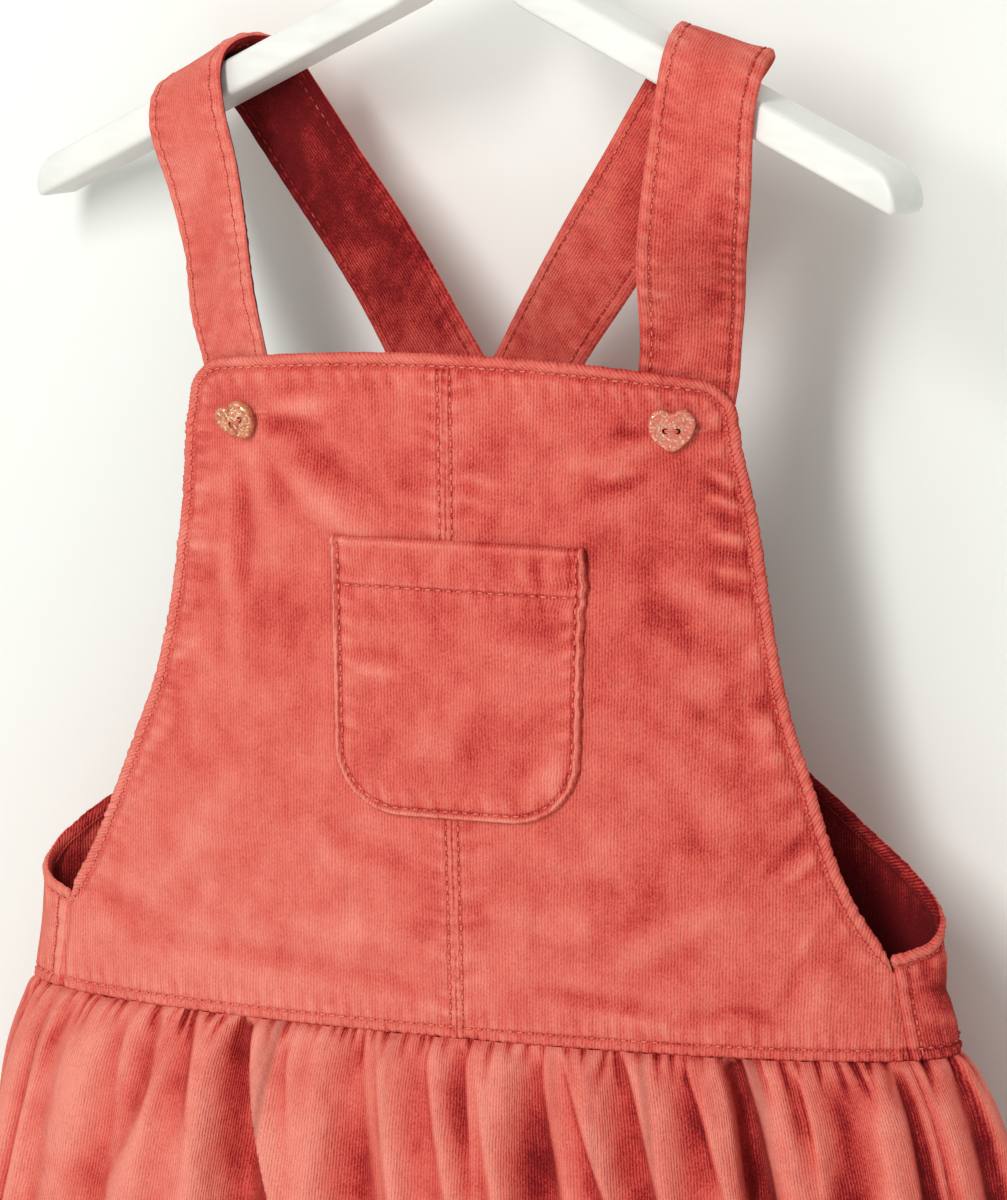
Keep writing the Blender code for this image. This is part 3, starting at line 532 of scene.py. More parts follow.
def new_material(name, **values):
    """A material with its node tree and its Principled shader, whose sockets take these values."""
    made = bpy.data.materials.new(name)
    made.use_nodes = True
    shader = made.node_tree.nodes["Principled BSDF"]
    feed(made.node_tree, shader, **values)
    return made, made.node_tree, shader


def corduroy_finish(name, tone_shift):
    """Corduroy of rounded cut-pile wales; crests paler from wear and painted highlight, troughs in
    painted shade; nap laid unevenly.
    """
    made, tree, shader = new_material(
        name, Roughness=0.95, Specular_IOR_Level=0.03, Sheen_Weight=0.05, Sheen_Roughness=0.40,
        Sheen_Tint=(1.0, 0.50, 0.42, 1.0),
    )
    place = object_place(tree)
    wales = add(tree, "UVMap", {"uv_map": "wale"}).outputs[0]
    u, v = part_of(tree, wales, 0), part_of(tree, wales, 1)
    # The wales wander a little, and their pile breaks up along them.
    across = calc(tree, "MULTIPLY_ADD", noise(tree, place, 110.0, 1.0), 0.45, u)
    wave = calc(tree, "COSINE", calc(tree, "MULTIPLY", across, 2 * math.pi))
    crown = calc(tree, "POWER", calc(tree, "MULTIPLY_ADD", wave, 0.5, 0.5), 0.7)
    pile = vector_of(tree, calc(tree, "MULTIPLY", u, 1.3), calc(tree, "MULTIPLY", v, 0.55))
    speckle = noise(tree, pile, 1.9, 3.0, 0.6)
    fuzz = noise(tree, place, 2600.0, 2.0, 0.6)
    # The nap lies this way and that in patches, longer along the wales than across them.
    lay = vector_of(tree, calc(tree, "MULTIPLY", u, 0.10), calc(tree, "MULTIPLY", v, 0.040))
    nap = noise(tree, lay, 1.0, 4.0, 0.62)
    mottle = noise(tree, place, 42.0, 5.0, 0.66)
    # Painted light and shade: the tone is paler towards the hem and the left, the side the light comes
    # from, and darker up and to the right.
    low = remap(tree, part_of(tree, place, 2), -0.25, -0.43, -0.04, 0.15)
    left = remap(tree, part_of(tree, place, 0), 0.15, -0.09, -0.14, 0.09)
    painted_light_tone = calc(tree, "ADD", calc(tree, "ADD", low, left), tone_shift - 0.09)
    tone = calc(tree, "MULTIPLY_ADD", nap, 0.18, painted_light_tone)
    for pattern, share in ((mottle, 0.24), (speckle, 0.28), (fuzz, 0.20)):
        tone = calc(tree, "MULTIPLY_ADD", pattern, share, calc(tree, "SUBTRACT", tone, share / 2))
    # The crest value paints crests paler, as wear and painted highlight, and troughs darker, as painted
    # shade.
    tone = calc(tree, "MULTIPLY_ADD", crest_value(tree), CREST_SHARE, tone)
    # Painted light and shade across each wale: its crown paler and the groove beside it darker, on top of
    # the shading from the wale's bump.
    uneven = remap(tree, mottle, 0.0, 1.0, 0.13, 0.26)
    tone = calc(tree, "MULTIPLY_ADD", crown, uneven, calc(tree, "SUBTRACT", tone, 0.12))
    height = calc(tree, "MULTIPLY_ADD", speckle, 0.35, crown)
    height = calc(tree, "MULTIPLY_ADD", fuzz, 0.35, height)
    # Small rumples run every way between the creases.
    rumples = bumped(tree, noise(tree, place, 95.0, 4.0, 0.62), RUMPLE_BUMP)
    normal = bumped(tree, height, WALE_BUMP, rumples)
    feed(tree, shader, Base_Color=ramp(tree, tone, CORAL), Normal=normal)
    return made


def thread_finish(name, colour):
    made, tree, shader = new_material(
        name, Roughness=0.8, Specular_IOR_Level=0.1, Sheen_Weight=0.05, Sheen_Tint=(1.0, 0.6, 0.5, 1.0),
    )
    place = object_place(tree)
    strands = noise(tree, place, 3200.0, 2.0)
    worn_places = noise(tree, place, 90.0, 2.0)
    # Painted light and shade, as on the cloth: paler towards the left and darker towards the right; the
    # crest value adds painted shade at the stitches' ends and on the straps' wrong sides.
    left = remap(tree, part_of(tree, place, 0), 0.15, -0.09, -0.30, 0.10)
    tone = calc(tree, "MULTIPLY_ADD", worn_places, 0.5, calc(tree, "ADD", crest_value(tree), left))
    tone = calc(tree, "MULTIPLY_ADD", strands, 0.5, tone)
    dark = tuple(0.88 * part for part in colour)
    pale = tuple(min(1.12 * part, 1.0) for part in colour)
    stops = [(0.0, (0.38, 0.024, 0.024)), (0.3, dark), (0.6, colour), (1.0, pale)]
    feed(tree, shader, Base_Color=ramp(tree, tone, stops), Normal=bumped(tree, strands, 0.0001))
    return made


def glitter_finish():
    """Clear rose resin full of small flakes that lie at all angles."""
    made, tree, shader = new_material(
        "rose_glitter_resin", Roughness=0.26, Specular_IOR_Level=0.45, Coat_Weight=0.15,
        Coat_Roughness=0.12, Subsurface_Weight=0.25, Subsurface_Scale=0.002,
    )
    place = object_place(tree)
    flakes = add(tree, "TexVoronoi", Vector=place, Scale=2100.0).outputs["Color"]
    kind = add(tree, "SeparateColor", Color=flakes).outputs
    metal = calc(tree, "GREATER_THAN", kind[0], 0.76)
    depth = noise(tree, place, 420.0, 3.0)
    resins = [(0.1, (0.36, 0.085, 0.040)), (0.5, (0.54, 0.175, 0.090)), (0.9, (0.66, 0.28, 0.15))]
    metals = [(0.0, (0.72, 0.36, 0.20)), (0.6, (0.90, 0.58, 0.36)), (1.0, (1.0, 0.84, 0.62))]
    resin, flake = ramp(tree, depth, resins), ramp(tree, kind[1], metals)
    # Painted see-through: the resin of the button on the right is mixed pinker, standing in for the
    # shaded cloth seen through it.
    painted_see_through = remap(tree, part_of(tree, place, 0), -0.01, 0.01, 0.0, 0.75)
    resin = add(tree, "MixRGB", Fac=painted_see_through, Color1=resin, Color2=(0.62, 0.125, 0.095, 1.0)).outputs[0]
    colour = add(tree, "MixRGB", Fac=metal, Color1=resin, Color2=flake).outputs[0]
    # Each flake leans its own way.
    lean = calc(tree, "SUBTRACT", flakes, (0.5, 0.5, 0.5), kind="VectorMath")
    scaled = add(tree, "VectorMath", {"operation": "SCALE"}, Scale=0.6)
    plug(tree, lean, scaled.inputs[0])
    normal = add(tree, "NewGeometry").outputs["Normal"]
    summed = calc(tree, "ADD", normal, scaled.outputs[0], kind="VectorMath")
    turned = calc(tree, "NORMALIZE", summed, kind="VectorMath")
    feed(tree, shader, Base_Color=colour, Metallic=calc(tree, "MULTIPLY", metal, 0.7), Normal=turned)
    return made


def paint_finish():
    """White paint over wood: put on thinly with a brush along the bar, with one spot of bare wood."""
    made, tree, shader = new_material(
        "white_paint", Roughness=0.42, Specular_IOR_Level=0.4, Coat_Weight=0.15,
    )
    place = object_place(tree)
    stretched = add(tree, "Mapping", Vector=place, Scale=(30.0, 160.0, 260.0)).outputs[0]
    brush = noise(tree, stretched, 1.0, 3.0)
    cloud = noise(tree, place, 26.0, 3.0)
    tone = calc(tree, "MULTIPLY_ADD", brush, 0.4, calc(tree, "MULTIPLY", cloud, 0.6))
    whites = [(0.1, (0.74, 0.74, 0.71)), (0.5, (0.80, 0.80, 0.77)), (0.9, (0.84, 0.84, 0.81))]
    white = ramp(tree, tone, whites)
    gap = add(tree, "VectorMath", {"operation": "DISTANCE"})
    plug(tree, place, gap.inputs[0])
    plug(tree, tuple(part * MM for part in WOOD_SPOT), gap.inputs[1])
    spot = remap(tree, gap.outputs["Value"], 0.0014, 0.0006)
    colour = add(tree, "MixRGB", Fac=spot, Color1=white, Color2=(0.30, 0.19, 0.10, 1.0)).outputs[0]
    rough = remap(tree, brush, 0.0, 1.0, 0.36, 0.50)
    feed(tree, shader, Base_Color=colour, Roughness=rough, Normal=bumped(tree, brush, 0.00006))
    return made


def steel_finish():
    made, tree, shader = new_material("hook_steel", Metallic=1.0, Roughness=0.25)
    stretched = add(tree, "Mapping", Vector=object_place(tree), Scale=(400.0, 400.0, 60.0)).outputs[0]
    drawn = noise(tree, stretched, 1.0, 4.0)
    colour = ramp(tree, drawn, [(0.2, (0.50, 0.50, 0.51)), (0.8, (0.72, 0.72, 0.73))])
    rough = remap(tree, drawn, 0.0, 1.0, 0.18, 0.36)
    feed(tree, shader, Base_Color=colour, Roughness=rough, Normal=bumped(tree, drawn, 0.00003))
    return made


def backdrop_finish(name, colour):
    """Matt and pale from its front, and clear from behind, so that it hides nothing from there."""
    made, tree, shader = new_material(
        name, Roughness=0.95, Specular_IOR_Level=0.05, Base_Color=(*colour, 1.0),
    )
    mixed = add(tree, "MixShader", Fac=add(tree, "NewGeometry").outputs["Backfacing"])
    plug(tree, shader.outputs[0], mixed.inputs[1])
    plug(tree, add(tree, "BsdfTransparent").outputs[0], mixed.inputs[2])
    feed(tree, tree.nodes["Material Output"], Surface=mixed.outputs[0])
    return made


# Meshes.


def new_object(name, data):
    made = bpy.data.objects.new(name, data)
    bpy.context.scene.collection.objects.link(made)
    return made


def make(name, points, faces, finish, uv=None, crest=None):
    """A piece from points in mm; it rides with the dress."""
    data = bpy.data.meshes.new(name)
    data.from_pydata((np.asarray(points) * MM).tolist(), [], faces)
    if uv is not None:
        corners = np.empty(len(data.loops), np.int32)
        data.loops.foreach_get("vertex_index", corners)
        data.uv_layers.new(name="wale").data.foreach_set("uv", uv[corners].astype(np.float32).ravel())
    if crest is not None:
        data.attributes.new("crest", "FLOAT", "POINT").data.foreach_set("value", crest.astype(np.float32))
    data.shade_smooth()
    data.materials.append(finish)
    piece = new_object(name, data)
    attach(piece, "root")
    return piece


def grid_faces(rows, columns, first=0, flip=False):
    index = first + np.arange(rows * columns).reshape(rows, columns)
    corners = [index[:-1, :-1], index[:-1, 1:], index[1:, 1:], index[1:, :-1]]
    return np.stack(corners[::-1] if flip else corners, -1).reshape(-1, 4)


def standing_out(relief, reach=7, height=CREST_HEIGHT, sunk=SUNK_SHARE):
    """How far each place of a relief stands over those round it, from -sunk to 1."""
    soft = relief
    kernel = np.full(2 * reach + 1, 1 / (2 * reach + 1))
    for axis in (0, 1):
        pad = [(reach, reach) if axis == k else (0, 0) for k in (0, 1)]
        soft = np.apply_along_axis(np.convolve, axis, np.pad(soft, pad, mode="edge"), kernel, "valid")
    crest = np.clip((relief - soft) / height, -1.0, 1.0)
    return np.where(crest < 0, sunk * crest, crest)


def shell(name, outer, inner, uv, crest, finish, slot="corduroy", wrong_side_weave_and_shade=WRONG_SIDE_WEAVE_AND_SHADE):
    """A closed wall of cloth between two grids of points, with a rounded rim."""
    rows, columns = outer.shape[:2]
    count = rows * columns
    index = np.arange(count).reshape(rows, columns)
    edge = np.concatenate([index[0, :-1], index[:-1, -1], index[-1, :0:-1], index[:0:-1, 0]])
    inside = np.concatenate([index[1, :-1], index[:-1, -2], index[-2, :0:-1], index[:0:-1, 1]])
    front, back = outer.reshape(-1, 3), inner.reshape(-1, 3)
    span = back[edge] - front[edge]
    away = front[edge] - front[inside]
    away -= span * (away * span).sum(-1, keepdims=True) / (span * span).sum(-1, keepdims=True)
    bulge = RIM_BULGE * np.linalg.norm(span, axis=-1, keepdims=True)
    rim = (front[edge] + back[edge]) / 2 + unit(away) * bulge
    here, there = edge, np.roll(edge, -1)
    rim_here = 2 * count + np.arange(len(edge))
    rim_there = np.roll(rim_here, -1)
    faces = np.concatenate([
        grid_faces(rows, columns),
        grid_faces(rows, columns, count, flip=True),
        np.stack([here, rim_here, rim_there, there], -1),
        np.stack([rim_here, here + count, there + count, rim_there], -1),
    ])
    flat_uv, flat_crest = uv.reshape(-1, 2), crest.ravel()
    all_uv = np.concatenate([flat_uv, flat_uv, flat_uv[edge]])
    # The wrong side's crest value makes it darker, for its plainer weave and as painted shade.
    all_crest = np.concatenate([flat_crest, wrong_side_weave_and_shade + 0.5 * flat_crest, flat_crest[edge]])
    points = np.concatenate([front, back, rim])
    return make(name, points, faces.tolist(), finish, all_uv, all_crest)


def tube_faces(rings, sides, first=0):
    """Faces round a tube of rings, whose points run so that the faces look outwards, and its ends."""
    index = first + np.arange(rings * sides).reshape(rings, sides)
    after = np.roll(index, -1, axis=1)
    walls = np.stack([index[:-1], after[:-1], after[1:], index[1:]], -1).reshape(-1, 4)
    return [*walls.tolist(), index[0, ::-1].tolist(), index[-1].tolist()]


def stitches(name, lines, finish, shades=None, long=2.7, thick=0.56, sides=5, rings=5):
    """Short threads along lines of (points, normals), each dipping into the cloth at both ends."""
    shades = shades or [0.0] * len(lines)
    turn = np.linspace(0.0, 2 * math.pi, sides, endpoint=False)
    step = np.linspace(-0.5, 0.5, rings)
    points, faces, crests = [], [], []
    # The crest value paints each stitch's ends darker, as painted shade where the thread dips into the
    # cloth.
    sunk = np.repeat(-(2 * step) ** 4, sides)
    for (line, normals), shade in zip(lines, shades):
        at = lengths(line)
        count = int(at[-1] / STITCH_PITCH)
        centre = (np.arange(count) + 0.5) * at[-1] / count
        places = (centre[:, None] + step * long).ravel()
        middle = between(line, at, places).reshape(count, rings, 3)
        normal = unit(between(normals, at, places)).reshape(count, rings, 3)
        ahead = unit(middle[:, -1:] - middle[:, :1])
        side = np.cross(ahead, normal)
        lift = thick * (0.75 - 3.4 * step**2)[None, :, None]
        radius = thick / 2 * (1 - 1.6 * step**2)[None, :, None, None]
        round_it = side[:, :, None] * np.cos(turn)[:, None] * 1.15
        round_it = round_it + normal[:, :, None] * np.sin(turn)[:, None]
        made = (middle + normal * lift)[:, :, None] + round_it * radius
        for item in made.reshape(count, -1, 3):
            faces += tube_faces(rings, sides, len(points) * sides * rings)
            points.append(item)
            crests.append(sunk + shade)
    return make(name, np.concatenate(points), faces, finish, crest=np.concatenate(crests))


def grid_line(points, row, column):
    """Points of a grid, and its normals, at these rows and columns, which need not be whole."""
    row, column = np.broadcast_arrays(np.asarray(row, float), np.asarray(column, float))
    r = np.clip(row.astype(int), 0, points.shape[0] - 2)
    c = np.clip(column.astype(int), 0, points.shape[1] - 2)
    a, b = (row - r)[..., None], (column - c)[..., None]
    found = []
    for grid in (points, outwards(points)):
        low = grid[r, c] * (1 - b) + grid[r, c + 1] * b
        high = grid[r + 1, c] * (1 - b) + grid[r + 1, c + 1] * b
        found.append(low * (1 - a) + high * a)
    return found


# The bodice's front.


def side_half(level):
    return smooth(BIB_SIDE, 1, level)


def bib_middle(level):
    return smooth(BIB_SIDE, 2, level)


def centre_x(level):
    return CENTRE_SEAM[1] + (CENTRE_SEAM[0] - CENTRE_SEAM[1]) * level / BIB_TOP


def bib_outline(inset, step=1.3):
    """(half width, level) of the edge, this far inside it, from the underarm to the corner's end."""
    levels = np.append(np.arange(UNDERARM, BIB_CORNER_LEVEL, step), BIB_CORNER_LEVEL)
    slope = side_half(levels + 0.5) - side_half(levels - 0.5)
    size = np.hypot(1.0, slope)
    side = np.stack([side_half(levels) - inset / size, levels + inset * slope / size], -1)
    # At the side seam the binding narrows to a point, and reaches the back's.
    side[:3, 0] = np.interp([0, 1, 2], [0, 3], [side_half(UNDERARM) + SIDE_MEET, side[3, 0]])
    side[:3, 1] = np.interp([0, 1, 2], [0, 3], [BIB_BAND_END - BAND_POINT * inset, side[3, 1]])
    turn = np.radians(np.linspace(0.0, 90.0, 17)[1:])
    middle = side_half(BIB_CORNER_LEVEL) - BIB_CORNER
    radius = BIB_CORNER - inset
    corner = np.stack([middle + radius * np.cos(turn), BIB_CORNER_LEVEL + radius * np.sin(turn)], -1)
    return np.concatenate([side, corner])


def round_bib(inset):
    """(x, level) of the bib's edge from the left underarm, over the top, to the right underarm."""
    edge = bib_outline(inset)
    middle = np.stack([bib_middle(edge[:, 1]), 0 * edge[:, 1]], -1)
    left, right = edge * (-1.0, 1.0) + middle, edge + middle
    top = np.linspace(left[-1], right[-1], 120)[1:-1]
    return np.concatenate([left, top, right[::-1]])


def front_rows(inset):
    seam_top = BIB_BAND_END - BAND_POINT * inset
    levels = np.concatenate([
        spaced(SEAM_GAP / 2, CLOSE_ROWS, 16), np.linspace(CLOSE_ROWS, seam_top, 24)[1:-1],
    ])
    outline = bib_outline(inset, 1.1)
    return np.concatenate([np.stack([side_half(levels) + SIDE_MEET, levels], -1), outline])


def pocket_inside(x, level):
    """How far a place is inside the pocket's side and lower edges; under 0 outside them."""
    low = POCKET_TOP - POCKET_HEIGHT
    rise = level - low
    straight = POCKET_HEIGHT - POCKET_CORNER
    half = np.interp(rise, [POCKET_CORNER, POCKET_CORNER + straight], POCKET_HALF[::-1])
    side = half - np.abs(x - POCKET_X)
    over_x, over_z = POCKET_CORNER - side, POCKET_CORNER - rise
    corner = POCKET_CORNER - np.hypot(over_x, over_z)
    return np.where((over_x > 0) & (over_z > 0), corner, np.minimum(side, rise))


def waist_seam(place, height, seed):
    """The bodice's folded lower edge, flat and topstitched over the skirt, with puckers above it."""
    band = ease(height / 0.7) * ease((WAIST_STITCH - 0.4 - height) / 0.7)
    relief = 0.12 * band - 0.55 * bump(height - WAIST_STITCH, 0.6) - 0.5 * bump(height, 0.5)
    relief += 0.45 * band * ripple(place + 0.4 * height, HALF_STITCH, seed)
    above = ease((height - WAIST_STITCH) / 1.2) * bump(height - WAIST_STITCH, PUCKER_REACH)
    return relief + PUCKER_DEPTH * above * ripple(place + 0.15 * height, 2.3, seed + 1)


def foot_wave(place, height, seed):
    """How much the folded lower edge rises or drops at a place."""
    return 0.30 * bump(height, 1.4) * ripple(place, HALF_STITCH, seed)


def painted_shade_and_wear(relief, height):
    """The crest values of a bodice relief: paler crests from wear and painted highlight, painted shade in
    troughs; the folded lower edge gets no wear, only painted light and shade that follow its relief.
    """
    band = 1 - ease((height - WAIST_STITCH + 1.0) / 1.5)
    return standing_out(relief) * (1 - 0.75 * band) + band * (0.7 * relief - 0.25)


def front_relief(x, level):
    """The front's creases, with its puckers along the seams. The pocket lies on the creases only."""
    broad = creases(FRONT_CREASES, x, level)
    off = x - centre_x(level)
    seams = 0.40 * bump(off, 3.4) - 0.75 * bump(np.abs(off) - SEAM_STITCH, 0.65) - 0.55 * bump(off, 0.5)
    seams += 0.34 * bump(off, 2.4) * ripple(level + 0.3 * off, HALF_STITCH, 16)
    slant = level - 0.25 * np.abs(off)
    puckers = np.where(off < 0, ripple(slant, 3.1, 11), ripple(slant, 3.3, 12))
    seams += 0.44 * bump(off, 8.0) * (1 - bump(off, 1.5)) * puckers
    distance, along = from_line(PANEL_EDGE, x, level)
    over_underarm = ease((level - UNDERARM + 4.0) / 6.0)
    groove = bump(distance, GROOVE_REACH)
    seams -= SEAM_GROOVE * groove * over_underarm
    pull = bump(distance, PUCKER_REACH) * (1 - groove) * over_underarm
    seams += PUCKER_DEPTH * pull * ripple(along + 0.4 * level, PUCKER_PITCH, 13)
    side = side_half(level) - np.abs(x - bib_middle(level))
    seams -= SEAM_GROOVE * bump(side, GROOVE_REACH) * (1 - over_underarm)
    seams += waist_seam(x + TO_LEFT, level, 14)
    for _, middle, height, _, _ in BUTTONS:
        slit = bump(level - BIB_DROOP * x**2 - height, 0.6)
        seams -= 0.9 * (slit * ease(x - middle + 4.0) * ease(middle + 10.5 - x))
    under_pocket = (pocket_inside(x, level) > 0.6) & (level < POCKET_TOP - 0.6)
    return broad + np.where(under_pocket, np.minimum(seams, 0.0), seams)


def bodice_wall(base, relief):
    """The outer and inner points of a bodice's cloth with this relief on its outer face."""
    normal = outwards(base)
    inner = relief * INNER_RELIEF - BODICE_WALL
    return base + normal * relief[..., None], base + normal * inner[..., None]


def front_panel(name, side, finish):
    rows = front_rows(EDGE_BAND - UNDER_BAND)
    share = spaced(0.0, 1.0, 140, [(0.0, 0.03), (0.982, 0.03)])
    seam = centre_x(rows[:, 1:])
    outer = bib_middle(rows[:, 1:]) + side * rows[:, :1]
    # From left to right, so that the faces look forward.
    x = outer + (seam - outer) * share if side < 0 else outer + (seam - outer) * share[::-1]
    level = np.broadcast_to(rows[:, 1:], x.shape)
    relief = front_relief(x, level)
    walls = bodice_wall(on_front(x, level + foot_wave(x + TO_LEFT, level, 15)), relief)
    uv = np.stack([x / WALE, level], -1)
    # Its crest values hold wear and painted highlight on crests and painted shade in troughs.
    return shell(name, *walls, uv, painted_shade_and_wear(relief, level), finish)


def lifted(x, level, lift):
    """Points this far off the front's outer face along a line on it, and its normals there."""
    step = 0.5
    along = on_front(x + step, level) - on_front(x - step, level)
    up = on_front(x, level + step) - on_front(x, level - step)
    normal = unit(np.cross(along, up))
    return on_front(x, level) + normal * lift[..., None], normal


def front_line(x, level):
    return lifted(x, level, front_relief(x, level))


def band_shell(name, base, finish, seed, twisted):
    """A bias binding: a flat tube along a grid (across from its inner edge, along), lumpy if twisted."""
    across = np.linspace(0.0, 1.0, base.shape[0])[:, None]
    at = lengths(base[base.shape[0] // 2])[None, :]
    width = unit(base[-1] - base[0])
    lumps = twisted * ripple(at + 1.8 * across, 1.7, seed + 2)
    lumps = lumps * (0.7 + 0.5 * ripple(at, 11.0, seed + 4))
    edges = 0.22 * lumps * np.abs(2 * across - 1) ** 3 * np.sign(across - 0.4)
    base = base + width * (edges + 0.12 * ripple(at, 4.0, seed + 3))[..., None]
    normal = outwards(base)
    profile = np.clip(1 - np.abs(2 * across - 1) ** 2.4, 0.06, 1.0) ** (1 / 2.2)
    wale = (at + 0.9 * EDGE_BAND * across) / (WALE * math.sqrt(2))
    rope = 0.17 * np.cos(2 * math.pi * wale) + 0.22 * ripple(at, 5.5, seed) + 0.34 * lumps
    half = EDGE_BAND_WALL / 2 * profile + 0 * at
    relief = half + rope * profile - 0.6 * bump(across * EDGE_BAND - BAND_STITCH, 0.75)
    uv = np.stack([wale, at * 0.7 + 0 * across], -1)
    outer = base + normal * relief[..., None]
    inner = base - normal * half[..., None]
    # Crest values: wear and painted highlight on the raised rope, painted shade in its troughs.
    return shell(name, outer, inner, uv, standing_out(relief, 3), finish, "binding"), outer


def bib_binding(finish):
    inner, outer = round_bib(EDGE_BAND), round_bib(0.0)
    at = lengths((inner + outer) / 2)
    places = np.linspace(0.0, at[-1], 2000)
    share = np.linspace(0.0, 1.0, 9)[:, None, None]
    inner, outer = between(inner, at, places), between(outer, at, places)
    grid = inner + (outer - inner) * share
    base = on_front(grid[..., 0], grid[..., 1])
    base = base - outwards(base) * BODICE_WALL / 2
    # Along the armholes the binding is stretched and twisted; along the top it lies flat.
    twisted = 1 - 0.9 * ease((base[4, :, 2] - WAIST_Z - 190.0) / 14.0)
    return band_shell("bib_binding", base, finish, 21, twisted)


# The bodice's back.


def back_edge_height(angle):
    return smooth(BACK_EDGE, 1, np.degrees(math.pi - np.abs(angle - math.pi)))


def back_angles(count):
    """Ring angles from seam to seam round the back, closer together where the ring bends."""
    start = SIDE_SEAM_ANGLE + SIDE_SEAM_GAP
    fine = np.linspace(start, 2 * math.pi - start, BACK_SAMPLES)
    x, y = ring(fine, *BACK_RING[0][1:])
    across, along = np.gradient(x), np.gradient(y)
    bend = np.abs(np.gradient(np.unwrap(np.arctan2(along, across))))
    weight = np.cumsum(np.hypot(across, along) + BEND_WEIGHT * bend)
    return np.interp(np.linspace(weight[0], weight[-1], count), weight, fine)


def back_length(angle):
    """Distance along the back's foot from its right side seam to this angle."""
    fine = np.linspace(SIDE_SEAM_ANGLE + SIDE_SEAM_GAP, 2 * math.pi - SIDE_SEAM_ANGLE, BACK_SAMPLES)
    return np.interp(angle, fine, lengths(np.stack(ring(fine, *BACK_RING[0][1:]), -1)))


def back_edge_inset(angle, inset):
    """(angle, height) of the back's top edge, moved in square to it."""
    height = back_edge_height(angle)
    length = lengths(np.stack(ring(angle, *BACK_RING[0][1:]), -1))
    slope = np.gradient(height, length)
    size = np.hypot(1.0, slope)
    from_seam = np.minimum(length, length[-1] - length)
    shift = inset * slope / size * np.clip(from_seam / SEAM_PLAIN, 0.0, 1.0)
    return np.interp(length + shift, length, angle), height - inset / size


def back_relief(place, height, from_top):
    """The back's creases at this distance along it and height, and this far under its binding."""
    ends = np.minimum(place, place.max() - place)
    groove = bump(from_top, GROOVE_REACH)
    pull = PUCKER_DEPTH * bump(from_top, PUCKER_REACH) * (1 - groove)
    seams = pull * ripple(place + 0.3 * height, PUCKER_PITCH, 31) - SEAM_GROOVE * groove
    seams += waist_seam(place, height, 32)
    seams += 0.3 * bump(ends - 2.2, 1.8) - 0.6 * bump(ends - SIDE_STITCH, 0.7) - 0.9 * bump(ends, 0.7)
    seams += 0.34 * bump(ends - 3.0, 4.0) * ripple(height + 0.5 * ends, 3.6, 34)
    return creases(BACK_CREASES, place, height) + seams


def back_panel(finish, columns=250, rows=72):
    foot = back_angles(columns)
    angle, top = back_edge_inset(foot, EDGE_BAND - UNDER_BAND)
    share = spaced(0.0, 1.0, rows, [(0.02, 0.05), (1.0, 0.03)])[:, None]
    angles = foot + (angle - foot) * share
    heights = SEAM_GAP / 2 + (top - SEAM_GAP / 2) * share
    place = back_length(angles)
    slope = np.gradient(top, back_length(foot))
    relief = back_relief(place, heights, (top - heights) / np.hypot(1.0, slope))
    outer, inner = bodice_wall(on_back(angles, heights + foot_wave(place, heights, 35)), relief)
    uv = np.stack([place / WALE, heights], -1)
    # Its crest values hold wear and painted highlight on crests and painted shade in troughs, and are
    # made darker round the right side seam.
    crest = painted_shade_and_wear(relief, heights) - 0.55 * (1 - ease((place - 20.0) / 50.0))
    return shell("back_cloth", outer, inner, uv, crest, finish), outer, heights


def back_binding(finish, columns=1400):
    bands = [back_edge_inset(back_angles(columns), inset) for inset in (EDGE_BAND, 0.0)]
    share = np.linspace(0.0, 1.0, 9)[:, None]
    angles = bands[0][0] + (bands[1][0] - bands[0][0]) * share
    heights = bands[0][1] + (bands[1][1] - bands[0][1]) * share
    base = on_back(angles, heights)
    base = base - outwards(base) * BODICE_WALL / 2
    return band_shell("back_binding", base, finish, 22, 0.6)


# The skirt.


def fold_depth(folds, share, depth, width):
    """How far the cloth lies inside its ring."""
    down = depth / SKIRT_LENGTH
    total = np.zeros(np.broadcast(share, depth).shape)
    for top, hem, deep_50, deep_hem, half in folds:
        middle = top + (hem - top) * down
        deepening = ((0.0, 0.0), (15.0, deep_50 * 0.5), (50.0, deep_50), (SKIRT_LENGTH, deep_hem))
        deep = smooth(deepening, 1, depth)
        spread = half * (0.6 + 0.4 * down)
        total += deep * bump((share - middle) * width, spread)
    return total


def drapes(table, share, depth, width):
    """The depth of the table's lopsided troughs, which are steep on one side."""
    total = np.zeros(np.broadcast(share, depth).shape)
    for top, low, deep_20, deep_45, left, right in table:
        middle = top + (low - top) * np.clip((depth - 5.0) / 40.0, -0.1, 1.3)
        deepening = (
            (0.0, 0.0), (4.0, 0.6 * deep_20), (18.0, deep_20), (45.0, deep_45),
            (SKIRT_LENGTH, 0.4 * deep_45),
        )
        deep = smooth(deepening, 1, depth)
        off = (share - middle) * width
        reach = np.where(off < 0, left, right) * (1 + depth / 60.0)
        # The steeper side breaks over a crisp crest, and so do both sides of the deepest pleat.
        crisp = ((off < 0) == (left < right)) | (deep_20 > 8.0)
        power = np.where(crisp, 3.4, 1.8)
        total += deep * np.exp(-np.abs(off / reach) ** power)
    return total


